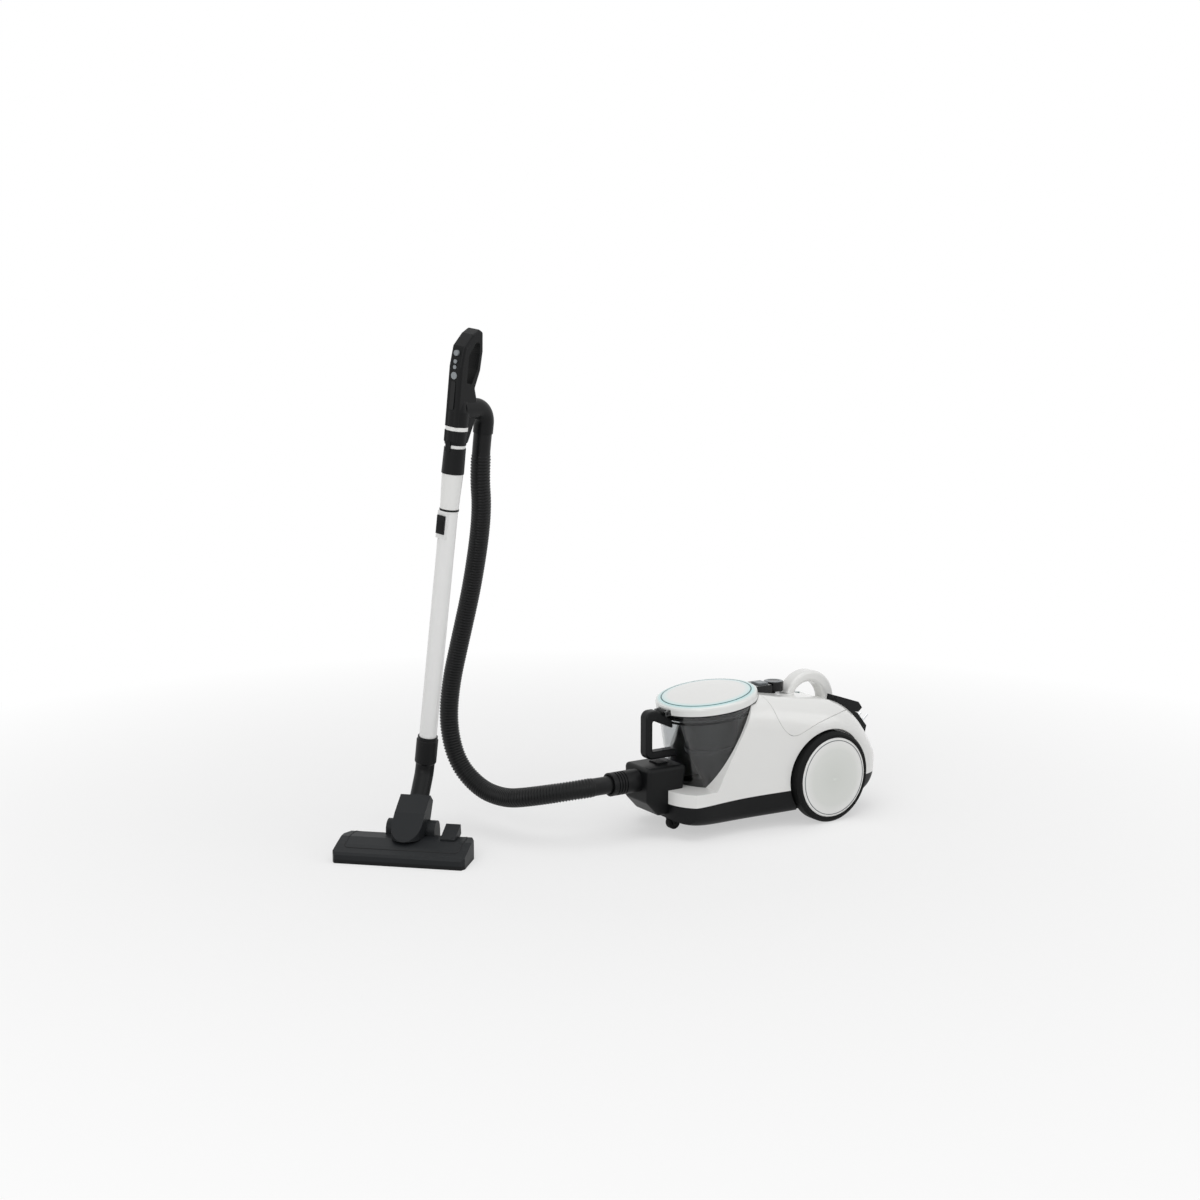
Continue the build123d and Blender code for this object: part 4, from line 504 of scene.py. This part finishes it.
# %% Finishes for the CAD pieces
FINISHES = {
    white_abs: ["body_shell", "top_cover", "handle_trim", "tele_sleeve"],
    white_tube_paint: ["lower_tube"],
    lid_white_painted_glow: ["bin_lid"],
    wheel_white_painted_shade: ["wheel_left", "wheel_right"],
    black_abs: [
        "base_pan", "inlet_port", "hose_latch", "hose_cuff", "hose_elbow", "exhaust_grille",
        "cord_outlet", "power_plug", "caster_fork", "bin_handle", "handle_body", "wand_collar",
        "tele_button", "nozzle_neck",
    ],
    panel_black: ["control_panel", "power_knob"],
    nozzle_charcoal: ["nozzle_yoke", "nozzle_hood", "nozzle_pedal"],
    sole_black: ["nozzle_sole"],
    tyre_black: ["tyre_left", "tyre_right", "caster_wheel", "nozzle_rollers"],
    seal_black: ["bin_seal", "cord_winding"],
    key_grey: ["bin_release_button", "button_power", "button_up", "button_down", "button_mode"],
    teal_key: ["rewind_button"],
    teal_ring: ["lid_ring"],
    smoked_clear: ["dust_bin"],
    cyclone_grey: ["cyclone_shroud", "cyclone_cone", "motor_housing", "reel_bracket", "cord_reel"],
    steel: ["motor_stator", "motor_rotor", "rewind_spring", "axle_pins", "housing_screws"],
    bright_steel: ["upper_tube", "plug_pins"],
    fan_aluminium: ["fan_impeller"],
    filter_felt: ["motor_filter", "exhaust_filter"],
    board_green: ["control_board"],
    bristle_black: ["brush_strip"],
    hose_black: ["hose"],
}


def dress(piece, material):
    """Puts one material on a piece, in place of any that it has."""
    piece.data.materials.clear()
    piece.data.materials.append(material)


for material, names in FINISHES.items():
    for name in names:
        dress(nodes[name], material)
dress(hose, hose_black)
print("dressed:", sum(len(names) for names in FINISHES.values()), "of", len(nodes))

# %% [markdown]
# A few pieces are too fine for the solids: the grey ring on each wheel, a painted shade that stands
# for the shade in the wheel's groove, the black ring where the telescope tube ends, and the grey cap
# ring on the selector knob. Each is a small outline turned about its axis.

# %% Painted groove shade rings on the wheels
WHEEL_GROOVE_R = 74.5 * MM
WHEEL_FACE = 140 * MM
RING_HALF = 0.7 * MM
for word, side in (("left", -1), ("right", 1)):
    middle = wheel_centre[word].copy()
    middle[1] = CANISTER_ORIGIN[1] * MM
    face = WHEEL_FACE - 2.5 * MM
    outline = [
        (WHEEL_GROOVE_R - RING_HALF, face - 1.0 * MM),
        (WHEEL_GROOVE_R - RING_HALF, face + 0.3 * MM),
        (WHEEL_GROOVE_R + RING_HALF, face + 0.3 * MM),
        (WHEEL_GROOVE_R + RING_HALF, face - 1.0 * MM),
    ]
    ring = turned_piece(f"wheel_groove_shade_{word}", outline, middle, vector((0, side, 0)), count=128)
    dress(ring, groove_shade_grey)
    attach(ring, f"wheel_{word}")

# %% Ring at the end of the telescope tube
TUBE_TOP = 514 * MM
BUSH_R = 17.9 * MM
bush = turned_piece(
    "telescope_ring",
    [
        (BUSH_R - 0.5 * MM, TUBE_TOP - 0.2 * MM),
        (BUSH_R, TUBE_TOP + 0.2 * MM),
        (BUSH_R, TUBE_TOP + 3.2 * MM),
        (BUSH_R - 0.5 * MM, TUBE_TOP + 3.6 * MM),
        (16.0 * MM, TUBE_TOP + 3.6 * MM),
        (16.0 * MM, TUBE_TOP - 0.2 * MM),
    ],
    wand_foot,
    wand_up,
    count=64,
)
dress(bush, black_abs)
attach(bush, "lower_tube")

# %% Cap ring on the selector knob
knob_low, knob_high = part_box("power_knob")
knob_middle = (vector(knob_low) + vector(knob_high)) / 2
knob_top = knob_high[2]
cap = turned_piece(
    "knob_cap_ring",
    [
        (12 * MM, -0.4 * MM),
        (12 * MM, 0.5 * MM),
        (17.4 * MM, 0.5 * MM),
        (17.8 * MM, -0.4 * MM),
    ],
    vector((knob_middle[0], knob_middle[1], knob_top)),
    vector((0, 0, 1)),
    count=64,
)
dress(cap, key_grey)
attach(cap, "power_knob")

# %% [markdown]
# Two flat pieces sit on the front of the handle: the polished strip below the keys, and the black
# tab that bridges the white ring where the handle plugs into the wand. A pad is a thin plate with
# rounded corners. Its four rows of points are the bottom and the top edge and, so that the grid
# still joins up with itself, the two ends of a hole finer than a hair through its middle.

# %% Strip and tab on the handle
HAIR = 0.01
HANDLE_FOOT = 636 * MM


def pad(name, half_width, low, high, corner, bottom, top):
    """Plate on the front of the wand, between two heights and two distances from its axis.

    Row points are middle + share * (outline - middle), with the outline as an even loop.
    """
    x, y = rounded_rectangle(half_width, low, high, corner, count=48)
    middle = (low + high) / 2
    rows = []
    for share, reach in ((HAIR, bottom), (1.0, bottom), (1.0, top), (HAIR, top)):
        sideways = (share * x)[:, None] * wand_across
        height = (middle + share * (y - middle))[:, None] * wand_up
        rows.append(wand_foot + sideways + height - reach * wand_out)
    piece = closed_surface(name, np.stack(rows))
    piece.data.polygons.foreach_set("use_smooth", np.zeros(len(piece.data.polygons), dtype=bool))
    return piece


strip = pad(
    "handle_strip",
    5 * MM,
    HANDLE_FOOT + 64 * MM,
    HANDLE_FOOT + 114 * MM,
    2.5 * MM,
    17.5 * MM,
    21.2 * MM,
)
dress(strip, panel_black)
tab = pad(
    "collar_tab",
    5.5 * MM,
    HANDLE_FOOT - 12 * MM,
    HANDLE_FOOT + 6 * MM,
    1.5 * MM,
    17.0 * MM,
    20.9 * MM,
)
dress(tab, black_abs)
for piece in (strip, tab):
    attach(piece, "handle")

# %% [markdown]
# The nozzle's hood has a fine groove that follows its outline a finger's width inside the edge.
# Its shade is painted: a thin dark cord laid on the hood, whose height is read from the hood's
# section.

# %% Painted groove shade round the nozzle's hood
NOZZLE_HALF = 125 * MM
HOOD_SECTION_Y = vector((0, 5, 30, 56, 88, 118)) * MM
HOOD_SECTION_Z = vector((16, 20, 28, 35, 35, 20)) * MM
nozzle_front = nozzle_pivot - 98 * MM * nozzle_back - vector((0, 0, 42 * MM))


groove_x, groove_y = rounded_rectangle(NOZZLE_HALF - 16 * MM, 20 * MM, 92 * MM, 10 * MM)
groove_z = np.interp(groove_y, HOOD_SECTION_Y, HOOD_SECTION_Z)
groove_path = nozzle_front + groove_x[:, None] * nozzle_along + groove_y[:, None] * nozzle_back
groove_path[:, 2] = groove_z + 0.1 * MM
# Painted shade: the dark cord stands for the shade in the hood's groove.
groove_shade_cord = round_bar("hood_groove_shade", groove_path, 0.7 * MM)
dress(groove_shade_cord, seal_black)
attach(groove_shade_cord, "nozzle")

# %% [markdown]
# Last come the floor and the light. A pale floor that curves up into a wall has no horizon line,
# and away from the cleaner the paper turns to the plain white of the photograph. Three large soft
# lamps, one above and one from each side, light it as in a small studio, and the world fills in
# the shadows. They are kept low enough that the white covers stay just under full white.

# %% Floor, lamps and world
FLOOR_HALF = 9.0
FLOOR_BACK = 4.5
COVE_R = 2.5
WALL_HEIGHT = 7.0


def sweep_floor():
    """Floor, quarter-round cove and wall, as one section carried sideways across the view."""
    away = unit(vector((-camera_back[0], -camera_back[1], 0)))
    sideways = np.cross(vector((0, 0, 1)), away)
    bend = np.linspace(0, np.pi / 2, 24)
    depth = np.concatenate([[-FLOOR_HALF], FLOOR_BACK + COVE_R * np.sin(bend), [FLOOR_BACK + COVE_R]])
    height = np.concatenate([[0.0], COVE_R * (1 - np.cos(bend)), [WALL_HEIGHT]])
    width = np.linspace(-FLOOR_HALF, FLOOR_HALF, 3)
    points = (
        depth[:, None, None] * away
        + height[:, None, None] * vector((0, 0, 1))
        + width[None, :, None] * sideways
    )
    rows, columns = points.shape[:2]
    i, j = np.meshgrid(np.arange(rows - 1), np.arange(columns - 1), indexing="ij")
    corner = i * columns + j
    corners = [corner, corner + 1, corner + columns + 1, corner + columns]
    faces = np.stack(corners, axis=-1).reshape(-1, 4)
    mesh = bpy.data.meshes.new("studio_floor")
    mesh.from_pydata(points.reshape(-1, 3).tolist(), [], faces[:, ::-1].tolist())
    mesh.polygons.foreach_set("use_smooth", np.ones(len(faces), dtype=bool))
    floor = bpy.data.objects.new("studio_floor", mesh)
    bpy.context.scene.collection.objects.link(floor)
    return floor


def seen_rays(tree):
    """Socket that is 1 for rays from the camera, off a gloss or through clear plastic, and else 0."""
    ray = add_node(tree, "ShaderNodeLightPath")
    seen = ray.outputs["Is Camera Ray"]
    for kind in ("Is Glossy Ray", "Is Transmission Ray"):
        either = add_node(tree, "ShaderNodeMath", {0: seen, 1: ray.outputs[kind]}, operation="MAXIMUM")
        seen = either.outputs["Value"]
    return seen


def white_paper():
    """Matt paper that holds the shadow by the cleaner and turns to plain white further off.

    Seen directly, in a mirror or through clear plastic, a share of it shines by itself: the least
    share up to the near distance from the middle, in metres, and all of it from the far distance on.
    """
    near, far, least = 0.45, 2.0, 0.5
    material, tree = new_material("white_paper")
    place = add_node(tree, "ShaderNodeTexCoord")
    distance = add_node(tree, "ShaderNodeVectorMath", {0: place.outputs["Object"]}, operation="LENGTH")
    share = add_node(
        tree,
        "ShaderNodeMapRange",
        {"Value": distance.outputs["Value"], "From Min": near, "From Max": far, "To Min": least},
    )
    mixing = add_node(
        tree,
        "ShaderNodeMath",
        {0: share.outputs["Result"], 1: seen_rays(tree)},
        operation="MULTIPLY",
    )
    paper = add_node(tree, "ShaderNodeBsdfDiffuse", {"Color": linear("#F8F8F8")})
    shine = add_node(tree, "ShaderNodeEmission", {"Color": linear("#FFFFFF"), "Strength": 1.0})
    blend = add_node(
        tree,
        "ShaderNodeMixShader",
        {0: mixing.outputs["Value"], 1: paper.outputs["BSDF"], 2: shine.outputs["Emission"]},
    )
    add_node(tree, "ShaderNodeOutputMaterial", {"Surface": blend.outputs["Shader"]})
    return material


floor = sweep_floor()
dress(floor, white_paper())


def soft_lamp(name, place, target, size, power):
    """Square area lamp at a place, facing a target."""
    data = bpy.data.lights.new(name, "AREA")
    data.shape = "SQUARE"
    data.size = size
    data.energy = power
    lamp = bpy.data.objects.new(name, data)
    bpy.context.scene.collection.objects.link(lamp)
    back = unit(vector(place) - vector(target))
    right = unit(np.cross(vector((0, 1, 0.01)), back))
    frame_of_lamp = np.eye(4)
    frame_of_lamp[:3, 0] = right
    frame_of_lamp[:3, 1] = np.cross(back, right)
    frame_of_lamp[:3, 2] = back
    frame_of_lamp[:3, 3] = place
    lamp.matrix_world = Matrix(frame_of_lamp.tolist())
    return lamp


soft_lamp("top_lamp", (0.0, -0.4, 3.2), (0, 0, 0.2), 3.0, 34)
soft_lamp("left_lamp", (-3.0, -2.0, 2.0), (0, 0, 0.3), 2.0, 30)
soft_lamp("right_lamp", (2.6, -2.6, 1.8), (0.2, 0, 0.2), 2.0, 16)

world = bpy.data.worlds.new("studio_world")
world.use_nodes = True
world.node_tree.nodes.clear()
FILL = 0.40
brightness = add_node(
    world.node_tree,
    "ShaderNodeMath",
    {0: seen_rays(world.node_tree), 1: 1.0 - FILL, 2: FILL},
    operation="MULTIPLY_ADD",
)
glow = add_node(
    world.node_tree,
    "ShaderNodeBackground",
    {"Color": linear("#FFFFFF"), "Strength": brightness.outputs["Value"]},
)
add_node(world.node_tree, "ShaderNodeOutputWorld", {"Surface": glow.outputs["Background"]})
bpy.context.scene.world = world
bpy.context.scene.view_settings.view_transform = "Standard"
